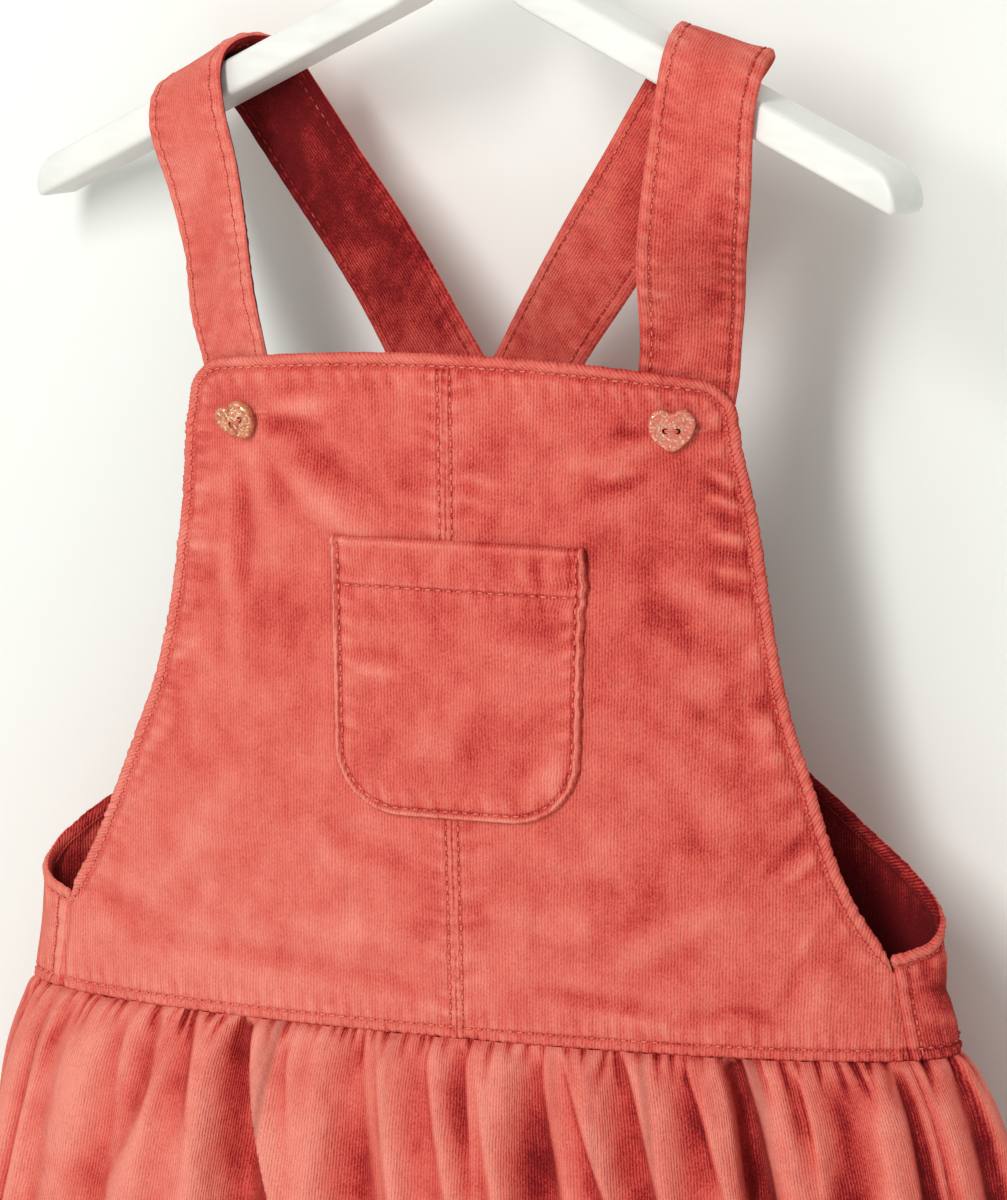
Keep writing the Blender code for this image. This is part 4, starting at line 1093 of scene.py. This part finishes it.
def gathers(seed, width, share, depth):
    """Uneven troughs that start at the waist seam: short tucks, and among them longer shallow ones."""
    draw = np.random.default_rng(seed)
    total = np.zeros(np.broadcast(share, depth).shape)
    # Lengths, depths, half widths and steps between neighbours, least and most.
    for long, deep, half, step in (
        ((6.0, 18.0), (1.4, 3.6), (0.7, 1.5), (3.2, 9.0)),
        ((20.0, 50.0), (0.6, 1.6), (1.7, 3.0), (10.0, 28.0)),
    ):
        place = draw.uniform(2.0, 8.0)
        while place < width - 3.0:
            reach = draw.uniform(*long)
            drift = draw.normal(0.0, 0.13)
            start = draw.uniform(0.0, 1.5)
            fade = ease((depth - start + 2.6) / 3.0) * (1 - ease((depth - start) / reach))
            spread = draw.uniform(*half) * (1 + depth / 16.0)
            off = np.abs(share * width - place - drift * depth) / spread
            total += draw.uniform(*deep) * fade * np.exp(-(off ** 1.3))
            place += draw.uniform(*step)
    return total


def skirt_panel(name, start, end, folds, draped, seed, finish, columns=560, rows=66):
    depths = SEAM_GAP / 2 + (SKIRT_LENGTH - SEAM_GAP / 2) * np.linspace(1.0, 0.0, rows) ** 1.8
    share = np.linspace(0.0, 1.0, columns)
    grid, reliefs = [], []
    for depth in depths:
        size = [float(smooth(SKIRT_RING, column, depth)) for column in (1, 2, 3, 4)]
        angle = even_angles(size, start + SIDE_SEAM_GAP, end - SIDE_SEAM_GAP, columns)
        x, y = ring(angle, *size)
        width = np.hypot(np.diff(x), np.diff(y)).sum()
        out = unit(np.stack([np.gradient(y), -np.gradient(x)], -1))
        inside = fold_depth(folds, share, depth, width)
        inside -= inside.mean() * 0.8
        fine = gathers(seed, SKIRT_GATHER_WIDTH, share, depth)
        fine = fine + DRAPE_DEPTH * drapes(draped, share, depth, width)
        fine -= fine.mean() * 0.9
        from_seam = np.minimum(share, 1 - share) * width
        hold = np.clip(from_seam / 14.0, 0.0, 1.0)
        inside = inside * hold + fine * ease(from_seam / 5.0)
        # The waist seam tucks the top under the bodice, and the hem is a doubled, topstitched fold.
        inside += 1.1 * bump(depth, 1.6) + 0.5 * bump(from_seam, 1.0)
        from_hem = depth - SKIRT_LENGTH + HEM_FOLD
        inside += 0.5 * bump(from_hem, 0.9) - 0.5 * ease(from_hem / 3.0)
        inside -= 0.35 * bump(from_hem, 6.0) * ripple(share * width, 3.4, seed + 1)
        place = np.stack([x, y], -1) - out * inside[:, None]
        grid.append(np.column_stack([place, np.full(columns, WAIST_Z - depth)]))
        reliefs.append(-inside)
    outer = np.array(grid)
    middle = lengths(outer[int(rows * 0.62)])
    u = np.broadcast_to(middle / WALE, outer.shape[:2])
    uv = np.stack([u, np.broadcast_to(-depths[:, None], u.shape)], -1)
    inner = outer - outwards(outer) * SKIRT_WALL
    relief = np.array(reliefs)
    # Crest values: wear and painted highlight on the folds' crests, painted shade in their troughs.
    crest = 0.50 * standing_out(relief, 5, sunk=1.0) + 0.80 * standing_out(relief, 18, 3.2, 1.2) + 0.13
    # The folds' steep sides lie in their own shade.
    steep = np.abs(np.gradient(relief, axis=1) / np.gradient(middle))
    crest -= 0.9 * ease((steep - 0.32) / 0.9)
    crest = np.where(crest > 0, 0.62 * crest, np.maximum(crest, -1.25))
    return shell(name, outer, inner, uv, crest, finish), outer, depths


# The pocket.


def pocket_relief(x, level):
    inside = pocket_inside(x, level)
    under_top = POCKET_TOP - level
    right = x > POCKET_X
    relief = creases(POCKET_CREASES, x, level)
    rim = 0.90 * bump(inside - 1.15, 1.1) - 0.95 * bump(inside - POCKET_STITCH, 0.65)
    relief += rim - 0.9 * bump(inside, 0.5)
    round_it = np.where(level > 96.0, level, x + 60.0)
    relief += 0.34 * bump(inside - 4.2, 4.2) * ripple(round_it + 0.3 * inside, 3.2, 41)
    relief += 0.30 * ease((16.6 - under_top) / 1.4) - 0.65 * bump(under_top - POCKET_HEM, 0.7)
    relief += 0.20 * bump(under_top - POCKET_HEM - 1.5, 5.0) * ripple(x + 100.0 + 0.2 * level, 2.9, 42)
    relief += 0.26 * bump(inside - 1.2, 1.1) * ripple(round_it + 0.5 * inside, HALF_STITCH, 45)
    relief += 0.25 * bump(under_top - 1.4, 1.2) - 0.7 * bump(under_top, 0.7)
    # The hem's right end is tacked down, so the corner there is pulled into a short, thick fold.
    tack = ease((16.0 - under_top) / 4.0) * right
    relief += tack * (0.9 * bump(inside - 1.6, 1.3) - 0.9 * bump(inside - 5.0, 0.8))
    return relief


def pocket_panel(finish, columns=104, rows=112):
    low = POCKET_TOP - POCKET_HEIGHT
    level = spaced(low, POCKET_TOP, rows, [(low, 3.5), (POCKET_TOP - POCKET_HEM, 2.0), (POCKET_TOP, 1.5)])
    turn = np.arcsin(np.clip((level - low) / POCKET_CORNER - 1.0, -1.0, 0.0))
    half = POCKET_HALF[1] - POCKET_CORNER + POCKET_CORNER * np.cos(turn)
    rise = np.clip((level - low - POCKET_CORNER) / (POCKET_HEIGHT - POCKET_CORNER), 0.0, 1.0)
    half = half + (POCKET_HALF[0] - POCKET_HALF[1]) * rise
    share = spaced(-1.0, 1.0, columns, [(-0.96, 0.06), (0.96, 0.06)])
    x = POCKET_X + half[:, None] * share
    level = np.broadcast_to(level[:, None], x.shape)
    # The right edge is not quite straight.
    edge_wave = 0.24 * ripple(level, 3.4, 43) + 0.9 * bump(level - 149.0, 7.0)
    edge_wave = edge_wave * ease((x - POCKET_X) / 40.0) ** 3 + 0.12 * ripple(level, 3.4, 44)
    lift = creases(FRONT_CREASES, x, level) + POCKET_LIFT
    relief = pocket_relief(x, level)
    base = on_front(x + edge_wave, level)
    normal = outwards(base)
    uv = np.stack([x / WALE + 0.4, level], -1)
    outer = base + normal * (lift + POCKET_WALL + relief)[..., None]
    inner = base + normal * (lift + np.minimum(relief, 0.0) * 0.2)[..., None]
    # Crest values: wear and painted highlight on raised parts, painted shade in troughs.
    return shell("pocket_cloth", outer, inner, uv, standing_out(relief), finish)


def pocket_line(x, level):
    under = creases(FRONT_CREASES, x, level) + POCKET_LIFT + POCKET_WALL
    return lifted(x, level, under + pocket_relief(x, level))


# The straps.


def direction(turn, rise):
    turn, rise = np.radians(turn), np.radians(rise)
    return np.stack([np.cos(turn) * np.cos(rise), np.sin(turn) * np.cos(rise), np.sin(rise)], -1)


def hanger_frame(along, out, up):
    """A point of the hanger: along its bar to the right, out to the front, up."""
    roll_along = along * math.cos(HANGER_ROLL) + up * math.sin(HANGER_ROLL)
    roll_up = up * math.cos(HANGER_ROLL) - along * math.sin(HANGER_ROLL)
    x = roll_along * math.cos(HANGER_TURN) + out * math.sin(HANGER_TURN)
    y = roll_along * math.sin(HANGER_TURN) - out * math.cos(HANGER_TURN)
    return np.stack(np.broadcast_arrays(x, y, roll_up), -1)


def bar_top(along):
    """Height of the bar's top edge, in the hanger's own frame."""
    neck = np.clip(HANGER_NECK - np.abs(along), 0.0, None)
    return HANGER_TOP - np.abs(along) * math.tan(HANGER_SLOPE) + HANGER_NECK_RISE * neck**2


def over_bar(front, back, lift, turn, rise):
    """Rows for the strap's loop, square to the sloping arm, from the bar's front to its back."""
    side = math.copysign(1.0, front)
    askew = abs(math.sin(math.radians(turn) - HANGER_TURN))
    reach = HANGER_DEPTH / 2 + STRAP_WALL / 2 + STRAP_WIDTH / 2 * askew + LOOP_GAP
    rows = []
    for angle in np.radians(np.linspace(0.0, 180.0, LOOP_ROWS)):
        foot = front + (back - front) * angle / math.pi
        over = (lift + LOOP_FOOT) * math.sin(angle) ** 0.8 - LOOP_FOOT
        along = foot + side * over * math.sin(HANGER_SLOPE)
        up = bar_top(foot) + over * math.cos(HANGER_SLOPE)
        rows.append((*hanger_frame(along, reach * math.cos(angle), up), turn, rise))
    return rows


def strap_grid(front, over, back, along, across):
    """Points of the strap's middle surface, as a grid (across, along)."""
    rows = np.array([*front, *over_bar(*over), *back])
    rows = np.column_stack([lengths(rows[:, :3]), rows])
    at = np.interp(along, np.linspace(0.0, 1.0, len(rows)), rows[:, 0])
    middle = np.stack([smooth(rows, column, at) for column in (1, 2, 3)], -1)
    middle = evened(evened(middle, STRAP_EVENED), STRAP_EVENED)
    tangent = unit(np.gradient(middle, at, axis=0))
    width = direction(smooth(rows, 4, at), smooth(rows, 5, at))
    width = evened(evened(width, STRAP_EVENED), STRAP_EVENED)
    # Where it folds over the bar, the strap shears and doesn't turn.
    first, last = rows[len(front), 0], rows[len(front) + LOOP_ROWS - 1, 0]
    folded = ease((at - first + LOOP_BLEND) / LOOP_BLEND) * ease((last + LOOP_BLEND - at) / LOOP_BLEND)
    square = (1 - 0.85 * folded[:, None]) * (width * tangent).sum(-1, keepdims=True)
    width = unit(width - tangent * square)
    points = middle + width * across[:, None, None] * STRAP_WIDTH / 2
    behind = (EDGE_BAND_WALL + BODICE_WALL) / 2 + STRAP_WALL / 2 + STRAP_GAP
    x, height = points[..., 0], points[..., 2] - WAIST_Z
    resting = front_y(x, np.minimum(height, BIB_TOP)) + behind
    hold = ease((STRAP_FREE - height) / STRAP_FREE_FADE) * (at < rows[-1, 0] / 2)
    points[..., 1] += (resting - points[..., 1]) * hold
    return points


def evened(values, reach):
    """Values along a line, each the mean of those up to this many places away."""
    pad = [(reach, reach)] + [(0, 0)] * (values.ndim - 1)
    padded = np.pad(values, pad, mode="reflect", reflect_type="odd")
    total = np.cumsum(np.concatenate([np.zeros_like(padded[:1]), padded]), axis=0)
    return (total[2 * reach + 1:] - total[:-2 * reach - 1]) / (2 * reach + 1)


def strap(name, front, over, back, seed, painted_light_to_loop, wrong_side_weave_and_shade, finish, columns=330):
    # From right to left, so that the strap's right side is the one that shows in front.
    across = spaced(1.0, -1.0, 31, [(-0.72, 0.08), (0.72, 0.08), (-1.0, 0.06), (1.0, 0.06)])
    # The table's rows are closer together over the bar, so the columns are evened out along it.
    coarse = strap_grid(front, over, back, np.linspace(0.0, 1.0, 400), np.array([0.0]))[0]
    even = np.interp(
        np.linspace(0.0, lengths(coarse)[-1], columns), lengths(coarse), np.linspace(0.0, 1.0, 400)
    )
    base = strap_grid(front, over, back, even, across)
    at = lengths(base[15])[None, :]
    normal = outwards(base)
    off = across[:, None] * STRAP_WIDTH / 2
    from_edge = STRAP_WIDTH / 2 - np.abs(off)
    relief = creases(STRAP_CREASES, at + seed, off)
    relief = relief * ease(at / 20.0)
    relief += 0.36 * bump(from_edge - 1.9, 1.5) - 0.40 * bump(from_edge - STRAP_STITCH, 0.7)
    inner_side = bump(from_edge - STRAP_STITCH - 2.5, 3.0) + bump(from_edge - 2.0, 2.0)
    relief += 0.30 * inner_side * ripple(at + 0.3 * off + 40.0 * (off > 0), 3.0, seed)
    in_round = np.clip((STRAP_EDGE_ROUND - from_edge) / STRAP_EDGE_ROUND, 0.0, None)
    round_it = np.sqrt(np.clip(1 - in_round**2, 0.05, 1.0))
    half = STRAP_WALL / 2 * round_it
    outer = base + normal * (half + relief * round_it)[..., None]
    inner = base - normal * (half + 0.8 * relief * round_it)[..., None]
    uv = np.stack([off / WALE + 0 * at, at + 0 * off], -1)
    # Painted light: its right side is paler towards the hanger, where it faces up into the light, on top
    # of wear and painted highlight on its crests and painted shade in its troughs; painted shade darkens
    # its wrong side most up to and just past the hanger, less towards its end at the back.
    crest = standing_out(relief + 0 * at, 3) + np.interp(at / at.max(), [0.0, 0.28, 0.36], painted_light_to_loop)
    shade = np.interp(at / at.max(), [0.50, 0.86], wrong_side_weave_and_shade) + 0 * crest
    made = shell(name, outer, inner, uv, crest, finish, wrong_side_weave_and_shade=shade.ravel())
    return made, outer, inner, across[::-1]


# The buttons.


def heart(width, height, count=96):
    """A plump heart's outline, upright, centred on its box, clockwise from its notch."""
    turns = np.radians(HEART[:, 0])
    places = HEART[:, 1:2] * np.stack([np.sin(turns), np.cos(turns)], -1)
    half = along_line(places, np.linspace(0.0, lengths(places)[-1], 9))
    ring_points = np.concatenate([half, half[-2:0:-1] * (-1.0, 1.0)])
    # A closed curve through these places, from the first few turns of its Fourier series.
    wave = np.fft.fft(ring_points[:, 0] + 1j * ring_points[:, 1])
    turn = np.fft.fftfreq(len(wave), 1 / len(wave))
    t = np.arange(count) / count
    curve = (wave * np.exp(2j * math.pi * turn * t[:, None])).sum(1) / len(wave)
    outline = np.stack([curve.real, curve.imag], -1)
    low, high = outline.min(0), outline.max(0)
    return (outline - (low + high) / 2) / (high - low) * (width, height)


def button_place(x, height, turn, lean):
    """The button's frame: a function from its own (x, out, z) in mm to a place in the world."""
    slope = (front_y(x + 5.0, height) - front_y(x - 5.0, height)) / 10.0
    stand_off = BUTTON_THICK / 2 + BUTTON_GAP + BUTTON_WIDTH / 2 * math.sin(math.radians(lean))
    where = Vector((x, float(front_y(x, height)) - stand_off, WAIST_Z + height))
    spin = Euler((math.radians(lean), math.radians(-turn), math.atan(slope))).to_matrix()

    def placed(points):
        return np.array([where + spin @ Vector((a, -out, b)) for a, out, b in points])

    return placed


def tube(path, radius, sides=12):
    """The rings of points of a tube along a path; radius is one number or one for each place."""
    path = np.asarray(path, float)
    ahead = unit(np.gradient(path, axis=0))
    aside = np.empty_like(path)
    side = np.cross(ahead[0], (0.31, 0.87, 0.39))
    for k, heading in enumerate(ahead):
        side = side - heading * side.dot(heading)
        side = side / np.linalg.norm(side)
        aside[k] = side
    over = np.cross(ahead, aside)
    turn = np.linspace(0.0, 2 * math.pi, sides, endpoint=False)[:, None]
    radius = np.broadcast_to(radius, len(path))[:, None, None]
    return path[:, None] + radius * (aside[:, None] * np.cos(turn) + over[:, None] * np.sin(turn))


def join_tubes(name, tubes, finish):
    points, faces, first = [], [], 0
    for rings in tubes:
        faces += tube_faces(rings.shape[0], rings.shape[1], first)
        points.append(rings.reshape(-1, 3))
        first += len(points[-1])
    return make(name, np.concatenate(points), faces, finish)


def button(name, x, height, turn, lean, narrowed, finish, thread):
    """A heart button; narrowed is its share of its full size across its slant."""
    placed = button_place(x, height, turn, lean)
    outline = heart(BUTTON_WIDTH, BUTTON_HEIGHT)
    slant = np.array([math.cos(BUTTON_SLANT), math.sin(BUTTON_SLANT)])
    outline -= (1 - narrowed) * (outline @ slant)[:, None] * slant
    sides = len(outline)
    rings = []
    for share, out in BUTTON_EDGE:
        across, up = (outline * share).T
        rings.append(np.column_stack([across, np.full(sides, out), up])[::-1])
    body = make(name, placed(np.concatenate(rings)), tube_faces(len(rings), sides), finish)
    cutters = []
    for side in (-1, 1):
        hole_x = side * BUTTON_HOLE_APART / 2
        path = placed([(hole_x, out, 0.0) for out in (-4.0, 0.0, 4.0)])
        cutters.append(join_tubes(f"{name}_cutter", [tube(path, BUTTON_HOLE / 2, 20)], finish))
        cut = body.modifiers.new("hole", "BOOLEAN")
        cut.operation = "DIFFERENCE"
        cut.object = cutters[-1]
    bpy.context.view_layer.update()
    holed = bpy.data.meshes.new_from_object(body.evaluated_get(bpy.context.evaluated_depsgraph_get()))
    body.modifiers.clear()
    body.data = holed
    for cutter in cutters:
        bpy.data.objects.remove(cutter)
    holed.set_sharp_from_angle(angle=math.radians(40.0))
    # Two strands of thread cross from hole to hole, and a wound shank stands behind.
    strands = []
    reach = BUTTON_HOLE_APART / 2
    for offset in (-0.30, 0.25):
        bend = np.linspace(0.0, math.pi, 12)
        path = [(-reach - 0.1, -2.2, offset * 0.6)]
        for angle in bend:
            rise = math.sin(angle)
            path.append((-reach * math.cos(angle), 0.7 + 0.95 * rise**0.6, offset * (0.6 + 0.5 * rise)))
        path.append((reach + 0.1, -2.2, offset * 0.6))
        strands.append(tube(placed(path), THREAD_RADIUS, 8))
    shank = [(0.0, -1.5, 0.0), (0.0, -2.2, 0.0), (0.0, -3.2, 0.0)]
    strands.append(tube(placed(shank), (1.7, 1.4, 1.6), 16))
    join_tubes(name + "_thread", strands, thread)
    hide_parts(name)


def buttonholes(finish):
    """Slits edged with close satin stitches, one to the right of each button's middle."""
    threads = []
    for _, x, height, _, _ in BUTTONS:
        for place in np.arange(x - 4.0, x + 9.5, 0.62):
            for side in (-1.0, 1.0):
                level = height + np.linspace(0.3, 1.5, 4) * side + BIB_DROOP * x**2
                points, normal = front_line(np.full(4, place), level)
                path = points + normal * np.array([-0.1, 0.12, 0.12, -0.2])[:, None]
                threads.append(tube(path, THREAD_RADIUS, 5))
    join_tubes("buttonholes", threads, finish)


# The hanger.


def bar_sections():
    """Rings of points round the hanger's bar, from its left tip to its right one."""
    tall = HANGER_HEIGHT / math.cos(HANGER_SLOPE)
    ends = np.array([0.0, 0.15, 0.5, 1.1, 2.0, 3.2, 4.8, 7.0, 10.0])
    inset = np.interp(ends, [0.0, 0.15, 0.5, 1.1, 2.0], [1.3, 0.85, 0.42, 0.12, 0.0])
    body = spaced(-HANGER_LEFT + BAR_END, HANGER_RIGHT - BAR_END, 110, [(0.0, 18.0)])
    along = np.concatenate([ends - HANGER_LEFT, body, (HANGER_RIGHT - ends)[::-1]])
    shrink = np.concatenate([inset, 0 * body, inset[::-1]])
    from_tip = np.minimum(along + HANGER_LEFT, HANGER_RIGHT - along)
    in_tip = np.clip(HANGER_TIP_ROUND - from_tip, 0.0, None)
    fall = HANGER_TIP_ROUND - np.sqrt(HANGER_TIP_ROUND**2 - in_tip**2)
    deeper = np.interp(np.abs(along), [HOOK_FLAT, HANGER_NECK], [HANGER_NECK_DEEPER, 1.0])
    top = bar_top(along) - fall - shrink
    low = bar_top(along) - tall * deeper + shrink + 0.8 * np.clip(1.5 - from_tip, 0.0, None)
    rings = []
    for a, t, b, s in zip(along, top, low, shrink):
        radius = min(BAR_ROUND, 0.45 * (t - b))
        half = HANGER_DEPTH / 2 - s
        ring_points = []
        for corner, (out, up) in enumerate(((1, 1), (-1, 1), (-1, -1), (1, -1))):
            x, z = out * (half - radius), (t - radius) if up > 0 else (b + radius)
            for turn in np.radians(np.linspace(0.0, 90.0, 5)) + corner * math.pi / 2:
                ring_points.append((x + radius * math.cos(turn), z + radius * math.sin(turn)))
        rings.append(hanger_frame(a, *np.transpose(ring_points)))
    return np.array(rings)


def hook_path():
    """The hook's wire from its tip, round its bend, down to the bar."""
    middle = HOOK_WIRE - HOOK_RADIUS
    foot = bar_top(np.array(HOOK_FLAT)) + 2 * SEAM_GAP
    turns = np.radians(np.linspace(205.0, -38.0, 49))
    path = [(HOOK_RADIUS * math.cos(a), middle + HOOK_RADIUS * math.sin(a)) for a in turns]
    end_x, end_z = path[-1]
    knee = foot + 6.0
    bend = np.array([(1.0, 0.0), (0.72, 0.16), (0.42, 0.36), (0.16, 0.62), (0.03, 0.86), (0.0, 1.0)])
    for down in np.linspace(0.05, 1.0, 16):
        across = smooth(bend[:, ::-1], 1, down)
        path.append((end_x * across, end_z + (knee - end_z) * down))
    path.append((0.0, foot))
    return np.array([hanger_frame(a, 0.0, up) for a, up in path])


# The pieces.

PANEL_EDGE = round_bib(EDGE_BAND)

corduroy = corduroy_finish("coral_corduroy", 0.50)
binding = corduroy_finish("coral_binding", 0.54)
cotton = thread_finish("coral_thread", (0.84, 0.215, 0.160))
glitter = glitter_finish()
paint = paint_finish()
steel = steel_finish()

front_left = front_panel("front_left_cloth", -1, corduroy)
front_right = front_panel("front_right_cloth", 1, corduroy)
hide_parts("front_left")
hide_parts("front_right")
bib_band, bib_band_grid = bib_binding(binding)
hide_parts("bib_edge")
back, back_grid, back_heights = back_panel(corduroy)
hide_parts("back_bodice")
back_band, back_band_grid = back_binding(binding)
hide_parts("back_edge")
pocket = pocket_panel(corduroy)
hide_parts("pocket")
# The two tables after each strap's seed are its painted light towards the hanger and its painted shade on
# its wrong side.
strap_left, left_grid, left_inner, across = strap(
    "strap_left_cloth", LEFT_FRONT, LEFT_OVER, LEFT_BACK, 0, (0.25, 0.36, 0.48), (-2.0, 0.0),
    corduroy,
)
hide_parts("strap_left")
strap_right, right_grid, right_inner, _ = strap(
    "strap_right_cloth", RIGHT_FRONT, RIGHT_OVER, RIGHT_BACK, 9, (-0.15, 0.20, 0.75), (-0.45, -0.30),
    corduroy,
)
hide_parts("strap_right")
skirt_front, skirt_front_grid, depths = skirt_panel(
    "skirt_front_cloth", -SIDE_SEAM_ANGLE, SIDE_SEAM_ANGLE, FRONT_FOLDS, FRONT_DRAPES, 51,
    corduroy,
)
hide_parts("skirt_front")
skirt_back, skirt_back_grid, _ = skirt_panel(
    "skirt_back_cloth", SIDE_SEAM_ANGLE, 2 * math.pi - SIDE_SEAM_ANGLE, BACK_FOLDS, BACK_DRAPES, 61,
    corduroy,
)
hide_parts("skirt_back")

# Stitching.
front_lines = []
for low, high in ((5.5, POCKET_TOP - POCKET_HEIGHT - 1.0), (POCKET_TOP + 1.0, BIB_TOP - EDGE_BAND - 0.8)):
    level = np.arange(low, high, STITCH_STEP)
    for side in (-SEAM_STITCH, SEAM_STITCH):
        front_lines.append(front_line(centre_x(level) + side, level))
half = float(side_half(WAIST_STITCH)) - 2.0
middle = float(bib_middle(WAIST_STITCH))
x = np.arange(middle - half, middle + half, STITCH_STEP)
front_lines.append(front_line(x, np.full(len(x), WAIST_STITCH)))
stitches("front_stitches", front_lines, cotton)

across_row = BAND_STITCH / EDGE_BAND * (bib_band_grid.shape[0] - 1)
bands = []
for grid in (bib_band_grid, back_band_grid):
    bands.append(grid_line(grid, across_row, np.arange(3, grid.shape[1] - 4)))
stitches("binding_stitches", bands, cotton)

back_lines = []
columns = np.arange(2, back_grid.shape[1] - 2)
row = np.interp(WAIST_STITCH, back_heights[:, 0], np.arange(back_grid.shape[0]))
back_lines.append(grid_line(back_grid, row, columns))
foot = back_length(back_angles(back_grid.shape[1]))
for place in (SIDE_STITCH, foot[-1] - SIDE_STITCH):
    column = np.interp(place, foot, np.arange(len(foot)))
    rows = np.arange(6, back_grid.shape[0] - 3)
    back_lines.append(grid_line(back_grid, rows, column))
stitches("back_stitches", back_lines, cotton)

turn = np.radians(np.linspace(-90.0, 0.0, 24))
low = POCKET_TOP - POCKET_HEIGHT
corner = POCKET_CORNER - POCKET_STITCH
right = np.stack([
    POCKET_HALF[1] - POCKET_CORNER + corner * np.cos(turn), low + POCKET_CORNER + corner * np.sin(turn)
], -1)
right = np.concatenate([right, [(POCKET_HALF[0] - POCKET_STITCH, POCKET_TOP - 1.5)]])
round_pocket = np.concatenate([right[::-1] * (-1.0, 1.0), right])
round_pocket = along_line(round_pocket, np.arange(0.0, lengths(round_pocket)[-1], STITCH_STEP))
x = np.arange(-POCKET_HALF[0] + 4.0, POCKET_HALF[0] - 4.0, STITCH_STEP)
stitches("pocket_stitches", [
    pocket_line(POCKET_X + round_pocket[:, 0], round_pocket[:, 1]),
    pocket_line(POCKET_X + x, np.full(len(x), POCKET_TOP - POCKET_HEM)),
], cotton)

strap_lines, strap_shades = [], []
# The stitches on the straps' wrong sides get painted shade, more on the left strap.
for grid, facing, shade in (
    (left_grid, 1.0, 0.0), (right_grid, 1.0, 0.0), (left_inner, -1.0, -0.6), (right_inner, -1.0, -0.25),
):
    for off in (-1.0, 1.0):
        place = off * (1 - 2 * STRAP_STITCH / STRAP_WIDTH)
        row = np.interp(place, across, np.arange(len(across)))
        points, normal = grid_line(grid, row, np.arange(2, grid.shape[1] - 2))
        strap_lines.append((points, facing * normal))
        strap_shades.append(shade)
stitches("strap_stitches", strap_lines, cotton, shades=strap_shades)

hem_lines = []
for grid in (skirt_front_grid, skirt_back_grid):
    row = np.interp(-(SKIRT_LENGTH - HEM_FOLD), -depths, np.arange(len(depths)))
    hem_lines.append(grid_line(grid, row, np.arange(2, grid.shape[1] - 2)))
stitches("skirt_stitches", hem_lines, cotton)

for row, narrowed in zip(BUTTONS, (0.82, 1.0)):
    button(*row, narrowed, glitter, cotton)
buttonholes(cotton)

bar = join_tubes("hanger_bar_painted", [bar_sections()], paint)
bar.data.set_sharp_from_angle(angle=math.radians(60.0))
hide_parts("hanger_bar")
path = hook_path()
round_tip = HOOK_WIRE * np.sqrt(1 - (1 - np.clip(lengths(path) / HOOK_WIRE, 0.02, 1.0)) ** 2)
wire = join_tubes("hanger_hook_wire", [tube(path, round_tip, 20)], steel)
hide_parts("hanger_hook")


# The stage, the light and the camera.


def plane(name, corners, finish):
    data = bpy.data.meshes.new(name)
    data.from_pydata(corners, [], [(0, 1, 2, 3)])
    data.materials.append(finish)
    made = new_object(name, data)


def light(name, place, aim, size, power, colour):
    data = bpy.data.lights.new(name, "AREA")
    data.shape = "RECTANGLE"
    data.size, data.size_y = size
    data.energy = power
    data.color = colour
    made = new_object(name, data)
    made.location = place
    made.rotation_euler = (Vector(aim) - Vector(place)).to_track_quat("-Z", "Y").to_euler()


WALL_Y = 0.068
WALL_TOP = 2.0
FLOOR_Z = -0.80
REACH = 4.0
foot_line = [(-REACH, WALL_Y, FLOOR_Z), (REACH, WALL_Y, FLOOR_Z)]
wall_top = [(REACH, WALL_Y, WALL_TOP), (-REACH, WALL_Y, WALL_TOP)]
floor_front = [(-REACH, -REACH, FLOOR_Z), (REACH, -REACH, FLOOR_Z)]
plane("wall", foot_line + wall_top, backdrop_finish("pale_wall", (0.855, 0.873, 0.850)))
plane("floor", floor_front + foot_line[::-1], backdrop_finish("pale_floor", (0.86, 0.86, 0.84)))

MIDDLE = (0.0, 0.0, -0.27)
light("key", (-0.36, -1.95, 0.62), MIDDLE, (0.36, 1.20), 30.0, (1.0, 0.985, 0.965))
light("fill", (0.1, -2.6, 0.2), MIDDLE, (2.0, 2.0), 6.0, (1.0, 0.99, 0.96))
world = bpy.data.worlds.new("studio")
bpy.context.scene.world = world
world.use_nodes = True
feed(world.node_tree, world.node_tree.nodes["Background"], Color=(0.955, 1.0, 0.955, 1.0), Strength=0.45)

AZIMUTH, ELEVATION = math.radians(16.0), math.radians(11.5)
CAMERA_AIM = Vector((0.0125, -0.010, -0.268))
CAMERA_DISTANCE = 1.2
towards = Vector((
    math.sin(AZIMUTH) * math.cos(ELEVATION), -math.cos(AZIMUTH) * math.cos(ELEVATION), math.sin(ELEVATION)
))
lens = bpy.data.cameras.new("camera")
lens.sensor_width = 36.0
lens.lens = 115.2
camera = new_object("camera", lens)
camera.location = CAMERA_AIM + CAMERA_DISTANCE * towards
camera.rotation_euler = (-towards).to_track_quat("-Z", "Y").to_euler()
bpy.context.scene.camera = camera
bpy.context.scene.view_settings.view_transform = "Standard"
